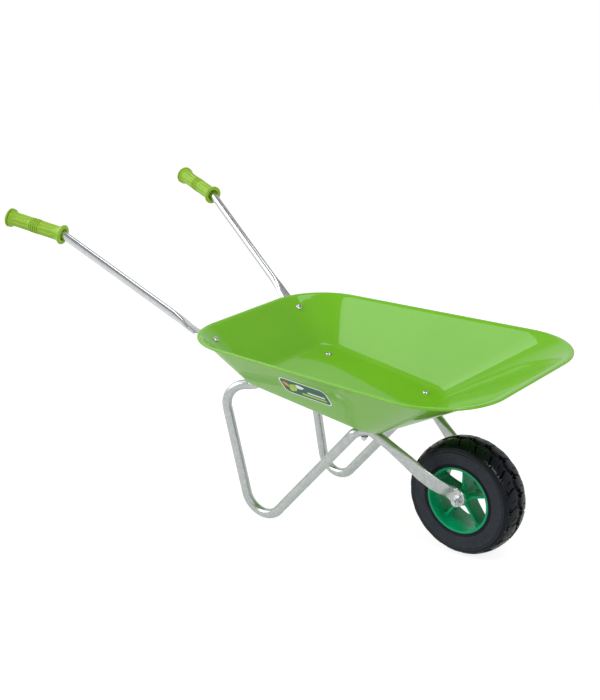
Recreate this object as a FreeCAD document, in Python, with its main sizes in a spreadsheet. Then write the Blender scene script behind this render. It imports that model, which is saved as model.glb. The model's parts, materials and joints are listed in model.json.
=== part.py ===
import FreeCAD, Part
import math
import os
import re
import Sketcher
from FreeCAD import Placement, Rotation, Vector

# A child's steel wheelbarrow, in millimetres.  +X runs forward to the wheel, +Z is up.
# Everything is drawn with X measured from the axle and Z from the ground, and the
# placement of each sub-part then moves it back by axle_offset, so that the origin is at the
# middle of the footprint.

SIZES = {
    "axle_offset": 292.27,
    # wheel
    "tyre_radius": 81.5, "tyre_half_width": 26, "tread_half_width": 11,
    "shoulder_radius": 74, "rim_radius": 46.5, "rim_half_width": 25.2,
    "barrel_inner_radius": 43, "barrel_neck_radius": 41.5, "hub_radius": 10,
    "hub_half_length": 18, "spoke_count": 5, "spoke_thickness": 4, "spoke_half_depth": 13,
    "spoke_phase": 16,
    # axle
    "axle_radius": 4, "bush_radius": 6.5, "bush_flange_radius": 8.5, "bush_flange": 1,
    "bush_length": 14, "bush_clearance": 0.06, "axle_hole_radius": 4.1, "end_float": 0.25,
    "spacer_length": 1.75, "tab_thickness": 3.5, "axle_washer": 1.5,
    "axle_washer_radius": 8.5, "axle_nut_height": 6.5, "axle_nut_width": 13,
    "axle_head_height": 5.3, "axle_end": 2.5,
    # tray: the outlines are the outer face of the sheet
    "tray_wall": 1.2, "rim_front": 97.6, "rim_front_height": 268, "rim_tilt": 0.66,
    "rim_length": 484, "rim_rear_half": 153.7, "rim_front_half": 178.4,
    "rim_rear_corner": 86, "rim_front_corner": 95, "rim_lip": 4.5, "rim_depth": 3.6,
    "rim_round": 1.5,
    "floor_front": -86, "floor_front_height": 174.5, "floor_tilt": 8.5,
    "floor_length": 232, "floor_rear_half": 101, "floor_front_half": 95,
    "floor_corner": 30, "floor_fillet": 16, "seat_margin": 25, "seat_length": 172,
    "seat_half": 60,
    # tubes
    "frame_tube": 14, "handle_tube": 12, "tube_wall": 1.1, "flat_frame": 4,
    "flat_handle": 3.5, "contact_gap": 0.15, "foot_bend": 32, "top_bend": 30,
    # grips
    "grip_length": 94, "grip_radius": 10.6, "grip_end_radius": 14, "grip_flange_radius": 14.6,
    "grip_wall": 4, "grip_mouth": 2.8, "grip_slope": 12.6, "grip_splay": 16,
    # fasteners
    "bolt_radius": 2.5, "bolt_hole_radius": 2.65, "bolt_head_radius": 4.7,
    "bolt_head_height": 2.6, "washer_radius": 5.4, "washer_thickness": 1, "nut_width": 8,
    "nut_height": 4, "bolt_tail": 2,
    # label
    "label_length": 82, "label_height": 36, "label_corner": 10, "label_thickness": 0.3,
}

SIDES = {"left": 1, "right": -1}

doc = FreeCAD.newDocument("Wheelbarrow")
sheet = doc.addObject("Spreadsheet::Sheet", "Sizes")
for row, (alias, number) in enumerate(SIZES.items(), 1):
    sheet.set(f"A{row}", alias)
    sheet.set(f"B{row}", str(number))
    sheet.setAlias(f"B{row}", alias)
doc.recompute()

nodes = []


def size(expression):
    """The value of an expression in the sheet's aliases."""
    result = sheet.evalExpression(str(expression))
    return float(getattr(result, "Value", result))


def bound(expression):
    """The same expression as another object of the document has to write it."""
    return re.sub(r"\b(" + "|".join(SIZES) + r")\b", r"Sizes.\1", str(expression))


def bind(item, **properties):
    """Bind properties of an object to expressions; a double underscore is a dot."""
    for name, expression in properties.items():
        item.setExpression(name.replace("__", "."), bound(expression))


# ---------------------------------------------------------------- sketches and bodies

def new_body(name):
    return doc.addObject("PartDesign::Body", name)


def origin_plane(body, role):
    return next(item for item in body.Origin.OriginFeatures if item.Role == role)


def new_sketch(body, name, role="XY_Plane"):
    sketch = body.newObject("Sketcher::SketchObject", name)
    sketch.AttachmentSupport = [(origin_plane(body, role), "")]
    sketch.MapMode = "FlatFace"
    return sketch


def add_loop(sketch, corners, radii=None):
    """A closed outline through corners given as pairs of expressions, rounded by radii."""
    points = [Vector(size(across), size(up), 0) for across, up in corners]
    first = sketch.GeometryCount
    count = len(points)
    for index in range(count):
        sketch.addGeometry(Part.LineSegment(points[index], points[(index + 1) % count]), False)
    for index in range(count):
        here, following = first + index, first + (index + 1) % count
        sketch.addConstraint(Sketcher.Constraint("Coincident", here, 2, following, 1))
    for index, (across, up) in enumerate(corners):
        for kind, text, number in (
            ("DistanceX", across, points[index].x),
            ("DistanceY", up, points[index].y),
        ):
            made = sketch.addConstraint(
                Sketcher.Constraint(kind, -1, 1, first + index, 1, number)
            )
            sketch.setExpression(f"Constraints[{made}]", bound(text))
    doc.recompute()
    if radii is None:
        return
    for index, radius in enumerate(radii):
        known = sketch.GeometryCount
        sketch.fillet(first + index, 1, size(radius), True, True)
        for arc in range(known, sketch.GeometryCount):
            if isinstance(sketch.Geometry[arc], Part.ArcOfCircle):
                made = sketch.addConstraint(
                    Sketcher.Constraint("Radius", arc, size(radius))
                )
                sketch.setExpression(f"Constraints[{made}]", bound(radius))
    doc.recompute()


def pad(body, sketch, length, midplane=False, reverse=False):
    feature = body.newObject("PartDesign::Pad", sketch.Name + "_pad")
    feature.Profile = sketch
    feature.Midplane = midplane
    feature.Reversed = reverse
    bind(feature, Length=length)
    doc.recompute()
    return feature


def revolve(body, sketch):
    """Turn a sketch on the XZ plane about the body's Z axis."""
    feature = body.newObject("PartDesign::Revolution", sketch.Name + "_turn")
    feature.Profile = sketch
    feature.ReferenceAxis = (sketch, ["V_Axis"])
    feature.Angle = 360
    doc.recompute()
    return feature


def turned(name, corners, radii=None):
    """A body of revolution about its own Z axis, from (radius, height) expressions."""
    body = new_body(name)
    sketch = new_sketch(body, name + "_section", "XZ_Plane")
    add_loop(sketch, corners, radii)
    revolve(body, sketch)
    return body


def place(item, base, axis=Vector(0, 0, 1), label=None):
    """Stand a sub-part's Z axis along axis at base, given from the axle and the ground."""
    offset = Vector(size("axle_offset"), 0, 0)
    item.Placement = Placement(base + offset, Rotation(Vector(0, 0, 1), axis))
    if label:
        item.Label = label
    nodes.append(item)
    return item


def finish_node(item, label):
    """Name a sub-part drawn in place and move it back by the axle offset."""
    item.Label = label
    item.Placement = Placement(Vector(size("axle_offset"), 0, 0), Rotation())
    bind(item, Placement__Base__x="axle_offset")
    nodes.append(item)
    return item


# ---------------------------------------------------------------- tube sections and paths

def section(name, centre, along, wide, width, thickness):
    """A squashed tube's outline: a circle where width and thickness are equal."""
    along = Vector(along).normalize()
    side = (wide - along * wide.dot(along)).normalize()
    over = along.cross(side)

    def point(across, up):
        return centre + side * across + over * up

    edge_across = width / 2 - thickness * (1 - math.sqrt(0.5)) / 2
    edge_up = thickness / 2 * math.sqrt(0.5)
    arcs = []
    turns = ((1, 1), (-1, 1), (-1, -1), (1, -1))
    middles = ((0, thickness / 2), (-width / 2, 0), (0, -thickness / 2), (width / 2, 0))
    for index, (middle_across, middle_up) in enumerate(middles):
        start, end = turns[index], turns[(index + 1) % 4]
        arcs.append(Part.Arc(
            point(start[0] * edge_across, start[1] * edge_up),
            point(middle_across, middle_up),
            point(end[0] * edge_across, end[1] * edge_up),
        ).toShape())
    feature = doc.addObject("Part::Feature", name)
    feature.Shape = Part.Wire(arcs)
    return feature


def bent_path(name, points, radii):
    """A wire of straight runs joined by tangent arcs at the inner points."""
    edges = []
    start = points[0]
    for before, corner, after, radius in zip(points, points[1:], points[2:], radii):
        into = (before - corner).normalize()
        out = (after - corner).normalize()
        half_angle = math.acos(into.dot(out)) / 2
        reach = radius / math.tan(half_angle)
        bisector = (into + out).normalize()
        centre = corner + bisector * (radius / math.sin(half_angle))
        first, last = corner + into * reach, corner + out * reach
        middle = centre - bisector * radius
        edges.append(Part.LineSegment(start, first).toShape())
        edges.append(Part.Arc(first, middle, last).toShape())
        start = last
    edges.append(Part.LineSegment(start, points[-1]).toShape())
    feature = doc.addObject("Part::Feature", name)
    feature.Shape = Part.Wire(edges)
    return feature


def sweep(name, profile, path):
    feature = doc.addObject("Part::Sweep", name)
    feature.Sections = [profile]
    feature.Spine = (path, [f"Edge{n + 1}" for n in range(len(path.Shape.Edges))])
    feature.Solid = True
    feature.Frenet = False
    feature.Transition = "Right corner"
    return feature


def loft(name, sections, ruled=True):
    feature = doc.addObject("Part::Loft", name)
    feature.Sections = sections
    feature.Solid = True
    feature.Ruled = ruled
    return feature


def fuse(name, shapes, refine=True):
    """Join solids; without refine, faces that lie in one plane stay separate."""
    feature = doc.addObject("Part::MultiFuse", name)
    feature.Shapes = shapes
    feature.Refine = refine
    return feature


def cut(name, base, tools, refine=True):
    tool = tools[0] if len(tools) == 1 else fuse(name + "_tools", tools)
    feature = doc.addObject("Part::Cut", name)
    feature.Base = base
    feature.Tool = tool
    feature.Refine = refine
    return feature


def drill(name, base, axis, radius, depth):
    """A cylinder centred on base, used to cut a hole."""
    hole = doc.addObject("Part::Cylinder", name)
    bind(hole, Radius=radius, Height=depth)
    axis = Vector(axis).normalize()
    hole.Placement = Placement(base - axis * (size(depth) / 2), Rotation(Vector(0, 0, 1), axis))
    return hole


def hollow_tube(name, points, radii, diameter, wide):
    """A round tube along a bent path, returned as its outside and its bore."""
    path = bent_path(name + "_path", points, radii)
    along = points[1] - points[0]
    bore = diameter - 2 * size("tube_wall")
    solids = []
    for part, width in (("outside", diameter), ("bore", bore)):
        outline = section(f"{name}_{part}_outline", points[0], along, wide, width, width)
        solids.append(sweep(f"{name}_{part}", outline, path))
    return solids


# ---------------------------------------------------------------- places shared by parts

tilt = math.radians(size("floor_tilt"))
FLOOR_NORMAL = Vector(math.sin(tilt), 0, math.cos(tilt))
FLOOR_BACK = Vector(-math.cos(tilt), 0, math.sin(tilt))
FLOOR_FRONT = Vector(size("floor_front"), 0, size("floor_front_height"))
FLOOR_REAR = FLOOR_FRONT + FLOOR_BACK * size("floor_length")
RIM_FRONT = Vector(size("rim_front"), 0, size("rim_front_height"))
RIM_BACK = Rotation(Vector(0, 1, 0), size("rim_tilt")).multVec(Vector(-1, 0, 0))
ACROSS = Vector(0, 1, 0)


def under_floor(x, y, depth):
    """A point depth below the outer face of the floor."""
    along = (size("floor_front") - x) / math.cos(tilt)
    point = FLOOR_FRONT + FLOOR_BACK * along - FLOOR_NORMAL * depth
    return Vector(point.x, y, point.z)


CORNER_TURN = 20


def rear_corner(share):
    """A point on the tray's left rear corner, with its inward normal and upward direction.

    The point lies on the outer face, CORNER_TURN degrees round from the rear wall, and share
    of the way from the floor's outline to the rim's.
    """
    turn = math.radians(CORNER_TURN)
    ends = []
    for base, back, length, rear_half, front_half, radius in (
        (FLOOR_FRONT, FLOOR_BACK, "floor_length", "floor_rear_half", "floor_front_half",
         "floor_corner"),
        (RIM_FRONT, RIM_BACK, "rim_length-rim_lip", "rim_rear_half-rim_lip",
         "rim_front_half-rim_lip", "rim_rear_corner-rim_lip"),
    ):
        length, radius = size(length), size(radius)
        taper = math.atan2(size(rear_half) - size(front_half), length)
        middle = size(rear_half) - radius * math.tan(math.pi / 4 + taper / 2)
        centre = base + back * (length - radius) + ACROSS * middle
        outwards = back * math.cos(turn) + ACROSS * math.sin(turn)
        onwards = ACROSS * math.cos(turn) - back * math.sin(turn)
        ends.append((centre + outwards * radius, onwards * radius))
    (low, low_tangent), (high, high_tangent) = ends
    upward = (high - low).normalize()
    tangent = low_tangent * (1 - share) + high_tangent * share
    return low + (high - low) * share, tangent.cross(upward).normalize(), upward


def on_side(point, side):
    return Vector(point[0], point[1] * side, point[2])


HANDLE_SLOPE = -0.622
HANDLE_SPLAY = -0.3
HANDLE_AT_RIM = (-389.1, 101.5, 267.3)


def on_handle(x):
    """A point on the straight run of the left handle tube."""
    step = x - HANDLE_AT_RIM[0]
    return (x, HANDLE_AT_RIM[1] + HANDLE_SPLAY * step, HANDLE_AT_RIM[2] + HANDLE_SLOPE * step)


HANDLE_BOLT = 0.76
REAR_BOLT = (-285.5, 69)
FRONT_BOLT = (-115.5, 73)


# ---------------------------------------------------------------- tray

def tilted(base, tilt_name):
    """The placement of an outline whose front edge is at base, rising to the rear."""
    return Placement(base, Rotation(Vector(0, 1, 0), size(tilt_name)))


def outline_corners(length, rear_half, front_half, rear="0", front="0", side="0"):
    """A tapered outline from its front edge backwards, moved inwards at each wall."""
    back, ahead = f"-{length}+{rear}", f"-{front}"
    rear_side, front_side = f"{rear_half}-{side}", f"{front_half}-{side}"
    return [
        (back, f"-({rear_side})"), (ahead, f"-({front_side})"),
        (ahead, front_side), (back, rear_side),
    ]


def floor_corners(end="0", side="0"):
    return outline_corners(
        "floor_length", "floor_rear_half", "floor_front_half", end, end, side
    )


def rim_corners(inset="0", rear="0", front="0", side="0"):
    return outline_corners(
        "rim_length", "rim_rear_half", "rim_front_half",
        f"({inset}+{rear})", f"({inset}+{front})", f"({inset}+{side})",
    )


def rim_radii(inset):
    rear, front = f"rim_rear_corner-({inset})", f"rim_front_corner-({inset})"
    return [rear, front, front, rear]


def tray_block(name, floor, floor_radius, rim, radii, lift, rounding):
    """A solid between a floor outline and a rim outline, rounded along the floor."""
    body = new_body(name)
    base = FLOOR_FRONT + FLOOR_NORMAL * size(lift)
    floor_edge = new_sketch(body, f"{name}_floor")
    add_loop(floor_edge, floor, [floor_radius] * 4)
    floor_edge.AttachmentOffset = tilted(base, "floor_tilt")
    rim_edge = new_sketch(body, f"{name}_rim")
    add_loop(rim_edge, rim, radii)
    rim_edge.AttachmentOffset = tilted(RIM_FRONT, "rim_tilt")
    doc.recompute()
    block = body.newObject("PartDesign::AdditiveLoft", f"{name}_walls")
    block.Profile = rim_edge
    block.Sections = [floor_edge]
    block.Ruled = True
    doc.recompute()
    edges = [
        f"Edge{number}" for number, edge in enumerate(block.Shape.Edges, 1)
        if all(abs((vertex.Point - base).dot(FLOOR_NORMAL)) < 0.01 for vertex in edge.Vertexes)
    ]
    rounded = body.newObject("PartDesign::Fillet", f"{name}_round")
    rounded.Base = (block, edges)
    bind(rounded, Radius=rounding)
    doc.recompute()
    return body


def make_rim():
    """The rolled edge round the top of the tray."""
    body = new_body("tray_rim")
    outline = new_sketch(body, "rim_ring")
    add_loop(outline, rim_corners(), rim_radii("0"))
    add_loop(outline, rim_corners("rim_lip+0.7"), rim_radii("rim_lip+0.7"))
    outline.AttachmentOffset = tilted(RIM_FRONT, "rim_tilt")
    doc.recompute()
    ring = pad(body, outline, "rim_depth", reverse=True)
    reach = ring.Shape.BoundBox.XMax
    edges = [
        f"Edge{number}" for number, edge in enumerate(ring.Shape.Edges, 1)
        if edge.BoundBox.XMax - edge.BoundBox.XMin < 0.01 and edge.BoundBox.XMax > reach - 0.1
    ]
    rolled = body.newObject("PartDesign::Fillet", "rim_roll")
    rolled.Base = (ring, edges)
    bind(rolled, Radius="rim_round")
    doc.recompute()
    return body


def make_seat():
    """A plate within the floor's sheet: its top is the part of the floor between the bolts."""
    seat = doc.addObject("Part::Box", "tray_seat")
    bind(seat, Length="seat_length", Width="2*seat_half", Height="tray_wall/2")
    corner = FLOOR_FRONT + FLOOR_BACK * size("seat_margin+seat_length")
    corner += FLOOR_NORMAL * size("tray_wall/2") - ACROSS * size("seat_half")
    seat.Placement = Placement(corner, Rotation(ACROSS, size("floor_tilt")))
    return seat


def make_tray():
    outside = tray_block(
        "tray_outside", floor_corners(), "floor_corner",
        rim_corners("rim_lip"), rim_radii("rim_lip"), "0", "floor_fillet",
    )
    inside = tray_block(
        "tray_inside", floor_corners("tray_wall*tan(17)", "tray_wall*tan(26)"),
        "floor_corner-0.5*tray_wall",
        rim_corners("rim_lip", "tray_wall/sin(43)", "tray_wall/sin(28)", "tray_wall/sin(53)"),
        rim_radii("rim_lip+1.4*tray_wall"), "tray_wall", "floor_fillet-tray_wall",
    )
    shell = fuse("tray_shell", [cut("tray_sheet", outside, [inside]), make_rim()])
    solid = fuse("tray_solid", [shell, make_seat()], refine=False)
    holes = []
    for side_name, side in SIDES.items():
        for bolt_name, point, normal, _ in bolt_places(side):
            holes.append(drill(
                f"tray_hole_{bolt_name}_{side_name}", point, normal, "bolt_hole_radius", "8"
            ))
    return finish_node(cut("tray_cut", solid, holes, refine=False), "tray")


# ---------------------------------------------------------------- frame tubes

LEG_TOP = (-348.6, 98.8, 197.2)
FOOT = (-303.3, 88, -30.6)
ARCH_REAR = (-124.8, 83.4, 171)
ARCH_FRONT = (-112, 68.1, 171)
BLADE_ROUND = (-86.8, 60.4, 153)
ARCH_BENDS = (14, 10)
# stations of the fork arm as it flattens into a blade: middle, width, thickness
FORK_STATIONS = (
    ((-74.1, 57.1, 143.4), 16.5, 11), ((-59.3, 53.2, 132.2), 19.5, 7.5),
    ((-41.4, 49.6, 118.5), 22, 5), ((-26, 42, 105.7), 23, 3.5), ((-16.4, 33.6, 97.2), 23, 3.5),
)
TAB_FOLD = (-10.4, 8.4)
TAB_MIDDLE = (-1.5, 3.3)
TAB_RADIUS = 12


def tall(along):
    """Across a blade that runs along, in the upright plane."""
    return Vector(-along.z, 0, along.x).normalize()


def make_frame_tube(side_name, side):
    """One bent tube: rear end, leg, foot, leg, arch, fork arm and axle tab."""
    name = f"frame_tube_{side_name}"
    upright = Vector(0, 1, 0)
    tube = size("frame_tube")
    flat = size("flat_frame")
    gap = size("contact_gap")
    end_depth = size("flat_handle") + 2 * gap + flat / 2

    rear_bolt = Vector(*REAR_BOLT, 0)
    heading = (rear_bolt - Vector(LEG_TOP[0], LEG_TOP[1], 0)).normalize()

    def along_end(x, drop=None):
        y = LEG_TOP[1] + (x - LEG_TOP[0]) * heading.y / heading.x
        if drop is None:
            return on_side((x, y, LEG_TOP[2]), side)
        return on_side(under_floor(x, y, drop), side)

    round_end = along_end(-312)
    points = [round_end] + [
        on_side(p, side) for p in (LEG_TOP, FOOT, ARCH_REAR, ARCH_FRONT, BLADE_ROUND)
    ]
    radii = [size("top_bend"), size("foot_bend"), *ARCH_BENDS]
    across = Vector(-heading.y * side, heading.x, 0) * side
    outside, bore = hollow_tube(name, points, radii, tube, across)

    level = Vector(heading.x, heading.y * side, 0)
    sloped = along_end(-280, end_depth) - along_end(-290, end_depth)
    rear_end = loft(f"{name}_rear_end", [
        section(f"{name}_rear_a", round_end, level, across, tube, tube),
        section(f"{name}_rear_b", along_end(-303) + Vector(0, 0, 0.3), level, across, 17, 9),
        section(f"{name}_rear_c", along_end(-295, end_depth), sloped, across, 20, flat),
        section(f"{name}_rear_d", along_end(-273, end_depth), sloped, across, 20, flat),
    ])

    axle = Vector(0, side * tab_centre(), size("tyre_radius"))
    arm = on_side(BLADE_ROUND, side) - on_side(ARCH_FRONT, side)
    thick = size("tab_thickness")
    stations = [(on_side(middle, side), *shape) for middle, *shape in FORK_STATIONS]
    for x, z in (TAB_FOLD, TAB_MIDDLE):
        stations.append((axle + Vector(x, 0, z), 23, thick))
    centres = [on_side(BLADE_ROUND, side)] + [station[0] for station in stations]
    blade = [section(f"{name}_blade_a", centres[0], arm, tall(arm), tube, tube)]
    for number, (centre, width, thickness) in enumerate(stations, 1):
        before = (centre - centres[number - 1]).normalize()
        after = before
        if number < len(stations):
            after = (centres[number + 1] - centre).normalize()
        blade.append(section(
            f"{name}_blade_{'abcdefgh'[number]}", centre, before + after,
            tall(before + after), width, thickness,
        ))
    fork = loft(f"{name}_fork", blade)
    tab = drill(
        f"{name}_tab", axle + Vector(TAB_MIDDLE[0], 0, TAB_MIDDLE[1]), upright,
        str(TAB_RADIUS), "tab_thickness",
    )

    solid = fuse(f"{name}_solid", [outside, rear_end, fork, tab])
    holes = [
        bore,
        drill(f"{name}_axle_hole", axle, upright, "axle_hole_radius", "20"),
        drill(
            f"{name}_rear_hole", on_side(under_floor(*REAR_BOLT, end_depth), side),
            FLOOR_NORMAL, "bolt_hole_radius", "12",
        ),
        drill(
            f"{name}_front_hole", on_side(under_floor(*FRONT_BOLT, 8), side),
            FLOOR_NORMAL, "bolt_hole_radius", "24",
        ),
    ]
    return finish_node(cut(f"{name}_cut", solid, holes), name)


def tab_centre():
    """How far the middle of an axle tab is from the wheel's mid plane."""
    return size("hub_half_length+bush_flange+end_float+spacer_length+tab_thickness/2")


# ---------------------------------------------------------------- handles and grips

GRIP_INNER = (-591.8, 162.2, 393.5)


def grip_direction(side):
    """The grip's axis, pointing back and out from its front end."""
    slope = math.radians(size("grip_slope"))
    splay = math.radians(size("grip_splay"))
    return Vector(
        -math.cos(slope) * math.cos(splay),
        side * math.cos(slope) * math.sin(splay),
        math.sin(slope),
    )


def make_handle_tube(side_name, side):
    """A straight tube with its grip end bent level and its lower end flattened."""
    name = f"handle_tube_{side_name}"
    tube = size("handle_tube")
    flat = size("flat_handle")
    depth = size("contact_gap") + flat / 2
    inner = on_side(GRIP_INNER, side)
    direction = grip_direction(side)
    end = inner + direction * (size("grip_length-grip_wall") - 8)
    bend = inner - direction * 3
    round_end = on_side(on_handle(-424), side)
    heading = Vector(1, HANDLE_SPLAY * side, 0).normalize()
    across = Vector(-heading.y, heading.x, 0)
    outside, bore = hollow_tube(name, [end, bend, round_end], [40], tube, across)

    upper, normal, upward = rear_corner(0.88)
    upper -= normal * depth
    drop = (upper - FLOOR_FRONT).dot(FLOOR_NORMAL) + depth
    corner = upper - upward * (drop / upward.dot(FLOOR_NORMAL))
    floor_end = under_floor(-274.5, on_handle(-274.5)[1], depth)
    stations = [
        (on_side(on_handle(-411), side), 14.5, 8.5),
        (on_side(on_handle(-401), side) - Vector(0, 0, 1.5), 17.5, 5),
        (on_side((-390, on_handle(-390)[1], 266.3), side), 18.5, flat),
        (on_side(upper, side), 18.5, flat),
        (on_side(corner, side), 18.5, flat),
        (on_side(floor_end, side), 18.5, flat),
    ]
    wide = [across] * 3 + [on_side(upward.cross(normal), side) * side] * 2 + [across]
    along_tube = round_end - bend
    sections = [section(f"{name}_flat_a", round_end, along_tube, across, tube, tube)]
    centres = [round_end] + [station[0] for station in stations]
    for number, (centre, width, thickness) in enumerate(stations, 1):
        before = (centre - centres[number - 1]).normalize()
        after = before
        if number < len(stations):
            after = (centres[number + 1] - centre).normalize()
        sections.append(section(
            f"{name}_flat_{'abcdefg'[number]}", centre, before + after, wide[number - 1],
            width, thickness,
        ))
    strip = loft(f"{name}_strip", sections)
    solid = fuse(f"{name}_solid", [outside, strip])
    bolt_point, bolt_axis, _ = rear_corner(HANDLE_BOLT)
    holes = [
        bore,
        drill(
            f"{name}_wall_hole", on_side(bolt_point, side), on_side(bolt_axis, side),
            "bolt_hole_radius", "20",
        ),
        drill(
            f"{name}_floor_hole", on_side(under_floor(*REAR_BOLT, depth), side),
            FLOOR_NORMAL, "bolt_hole_radius", "12",
        ),
    ]
    return finish_node(cut(f"{name}_cut", solid, holes), name)


def make_grip(side_name, side):
    """A moulded grip, blind at its outer end, with a rib group in the middle."""
    bore = "handle_tube/2+contact_gap"
    body = turned(
        f"grip_{side_name}",
        [
            (f"{bore}+grip_mouth", "0"), ("grip_flange_radius", "0"), ("grip_flange_radius", "5"),
            ("grip_radius", "9"), ("grip_radius", "40"), ("grip_radius+1.2", "41"),
            ("grip_radius+1.2", "52"), ("grip_radius", "53"), ("grip_radius", "85"),
            ("grip_end_radius", "87"), ("grip_end_radius", "grip_length-1"),
            ("grip_end_radius-1", "grip_length"), ("0", "grip_length"),
            ("0", "grip_length-grip_wall"), (bore, "grip_length-grip_wall"), (bore, "6"),
            (f"{bore}+grip_mouth", "0.5"),
        ],
    )
    inner = on_side(GRIP_INNER, side)
    direction = grip_direction(side)
    return place(body, inner - direction * 2.5, direction, f"grip_{side_name}")


# ---------------------------------------------------------------- wheel and axle

WHEEL_CENTRE = Vector(0, 0, size("tyre_radius"))


def make_tyre():
    tyre = turned(
        "tyre",
        [
            ("rim_radius", "-rim_half_width"), ("rim_radius+4", "-tyre_half_width+0.4"),
            ("shoulder_radius-12", "-tyre_half_width"), ("shoulder_radius", "-tyre_half_width"),
            ("tyre_radius-1.5", "-tyre_half_width+8"), ("tyre_radius", "-tread_half_width"),
            ("tyre_radius", "tread_half_width"), ("tyre_radius-1.5", "tyre_half_width-8"),
            ("shoulder_radius", "tyre_half_width"), ("shoulder_radius-12", "tyre_half_width"),
            ("rim_radius+4", "tyre_half_width-0.4"), ("rim_radius", "rim_half_width"),
        ],
    )
    place(tyre, WHEEL_CENTRE, ACROSS, "tyre")


def make_wheel_rim():
    """A moulded rim: a barrel, a hub and five plate spokes between them."""
    body = new_body("wheel_rim")
    barrel = new_sketch(body, "barrel_section", "XZ_Plane")
    add_loop(barrel, [
        ("barrel_inner_radius", "-rim_half_width"), ("rim_radius", "-rim_half_width"),
        ("rim_radius", "rim_half_width"), ("barrel_inner_radius", "rim_half_width"),
        ("barrel_neck_radius", "8"), ("barrel_neck_radius", "-8"),
    ])
    revolve(body, barrel)
    spoke = new_sketch(body, "spoke_section", "XY_Plane")
    phase = Rotation(Vector(0, 0, 1), -size("spoke_phase"))
    spoke.AttachmentOffset = Placement(Vector(), phase)
    add_loop(spoke, [
        ("bush_radius+1", "-spoke_thickness/2"), ("barrel_neck_radius+1", "-spoke_thickness/2"),
        ("barrel_neck_radius+1", "spoke_thickness/2"), ("bush_radius+1", "spoke_thickness/2"),
    ])
    first = pad(body, spoke, "2*spoke_half_depth", midplane=True)
    spokes = body.newObject("PartDesign::PolarPattern", "spokes")
    spokes.Originals = [first]
    spokes.Axis = (origin_plane(body, "Z_Axis"), [""])
    spokes.Angle = 360
    spokes.Occurrences = int(size("spoke_count"))
    body.Tip = spokes
    doc.recompute()
    hub = new_sketch(body, "hub_section", "XZ_Plane")
    add_loop(hub, [
        ("axle_radius+1", "-hub_half_length"), ("hub_radius", "-hub_half_length"),
        ("hub_radius+1", "0"), ("hub_radius", "hub_half_length"),
        ("axle_radius+1", "hub_half_length"),
    ])
    revolve(body, hub)
    for number, sign in enumerate(("", "-")):
        seat = new_sketch(body, f"bush_seat_{number}", "XZ_Plane")
        add_loop(seat, [
            ("0", f"{sign}(hub_half_length+1)"), ("bush_radius", f"{sign}(hub_half_length+1)"),
            ("bush_radius", f"{sign}(hub_half_length-bush_length)"),
            ("0", f"{sign}(hub_half_length-bush_length)"),
        ])
        groove = body.newObject("PartDesign::Groove", f"bush_seat_{number}_turn")
        groove.Profile = seat
        groove.ReferenceAxis = (seat, ["V_Axis"])
        groove.Angle = 360
        doc.recompute()
    place(body, WHEEL_CENTRE, ACROSS, "wheel_rim")


def make_bush(side_name, side):
    """A flanged plastic bearing bush, pressed into one end of the hub."""
    bore = "axle_radius+bush_clearance"
    bush = turned(f"hub_bush_{side_name}", [
        (bore, "-bush_length"), ("bush_radius", "-bush_length"), ("bush_radius", "0"),
        ("bush_flange_radius", "0"), ("bush_flange_radius", "bush_flange"),
        (bore, "bush_flange"),
    ])
    base = WHEEL_CENTRE + ACROSS * (side * size("hub_half_length"))
    place(bush, base, ACROSS * side, f"hub_bush_{side_name}")


def ring(name, radius, bore, height):
    return turned(name, [(bore, "0"), (radius, "0"), (radius, height), (bore, height)])


def hexagon(name, width, height, bore=None):
    """A hexagon prism on the XY plane, with a bore for a nut."""
    body = new_body(name)
    outline = new_sketch(body, name + "_outline")
    corners = [
        (f"{width}/sqrt(3)*cos({60 * n}deg)", f"{width}/sqrt(3)*sin({60 * n}deg)")
        for n in range(6)
    ]
    add_loop(outline, corners)
    pad(body, outline, height)
    if bore:
        seat = new_sketch(body, name + "_bore", "XZ_Plane")
        add_loop(seat, [("0", "-1"), (bore, "-1"), (bore, f"{height}+1"), ("0", f"{height}+1")])
        groove = body.newObject("PartDesign::Groove", name + "_bore_turn")
        groove.Profile = seat
        groove.ReferenceAxis = (seat, ["V_Axis"])
        groove.Angle = 360
        doc.recompute()
    return body


def make_axle():
    """The fixed axle: a long hexagon bolt with spacers, washers and a lock nut."""
    tab_inner = size("hub_half_length+bush_flange+end_float+spacer_length")
    tab_outer = tab_inner + size("tab_thickness")
    for side_name, side in SIDES.items():
        outwards = ACROSS * side
        spacer = ring(
            f"axle_spacer_{side_name}", "bush_flange_radius", "axle_hole_radius", "spacer_length"
        )
        inner = WHEEL_CENTRE + outwards * (tab_inner - size("spacer_length"))
        place(spacer, inner, outwards, f"axle_spacer_{side_name}")
        washer = ring(
            f"axle_washer_{side_name}", "axle_washer_radius", "axle_hole_radius", "axle_washer"
        )
        place(washer, WHEEL_CENTRE + outwards * tab_outer, outwards, f"axle_washer_{side_name}")

    under_head = tab_outer + size("axle_washer")
    length = f"{2 * under_head}+axle_nut_height+axle_end"
    head = hexagon("axle_bolt", "axle_nut_width", "axle_head_height")
    shank = new_sketch(head, "axle_shank", "XZ_Plane")
    add_loop(shank, [
        ("0", f"-({length})"), ("axle_radius-0.8", f"-({length})"),
        ("axle_radius", f"-({length}-0.8)"), ("axle_radius", "1"), ("0", "1"),
    ])
    revolve(head, shank)
    place(head, WHEEL_CENTRE + ACROSS * under_head, ACROSS, "axle_bolt")
    nut = hexagon("axle_nut", "axle_nut_width", "axle_nut_height", "axle_radius")
    place(nut, WHEEL_CENTRE - ACROSS * under_head, -ACROSS, "axle_nut")


# ---------------------------------------------------------------- tray fasteners and label

BOLT_SLACK = 0.2
CORNER_LIFT = 0.2
FRONT_DROP = 1.7


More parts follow.
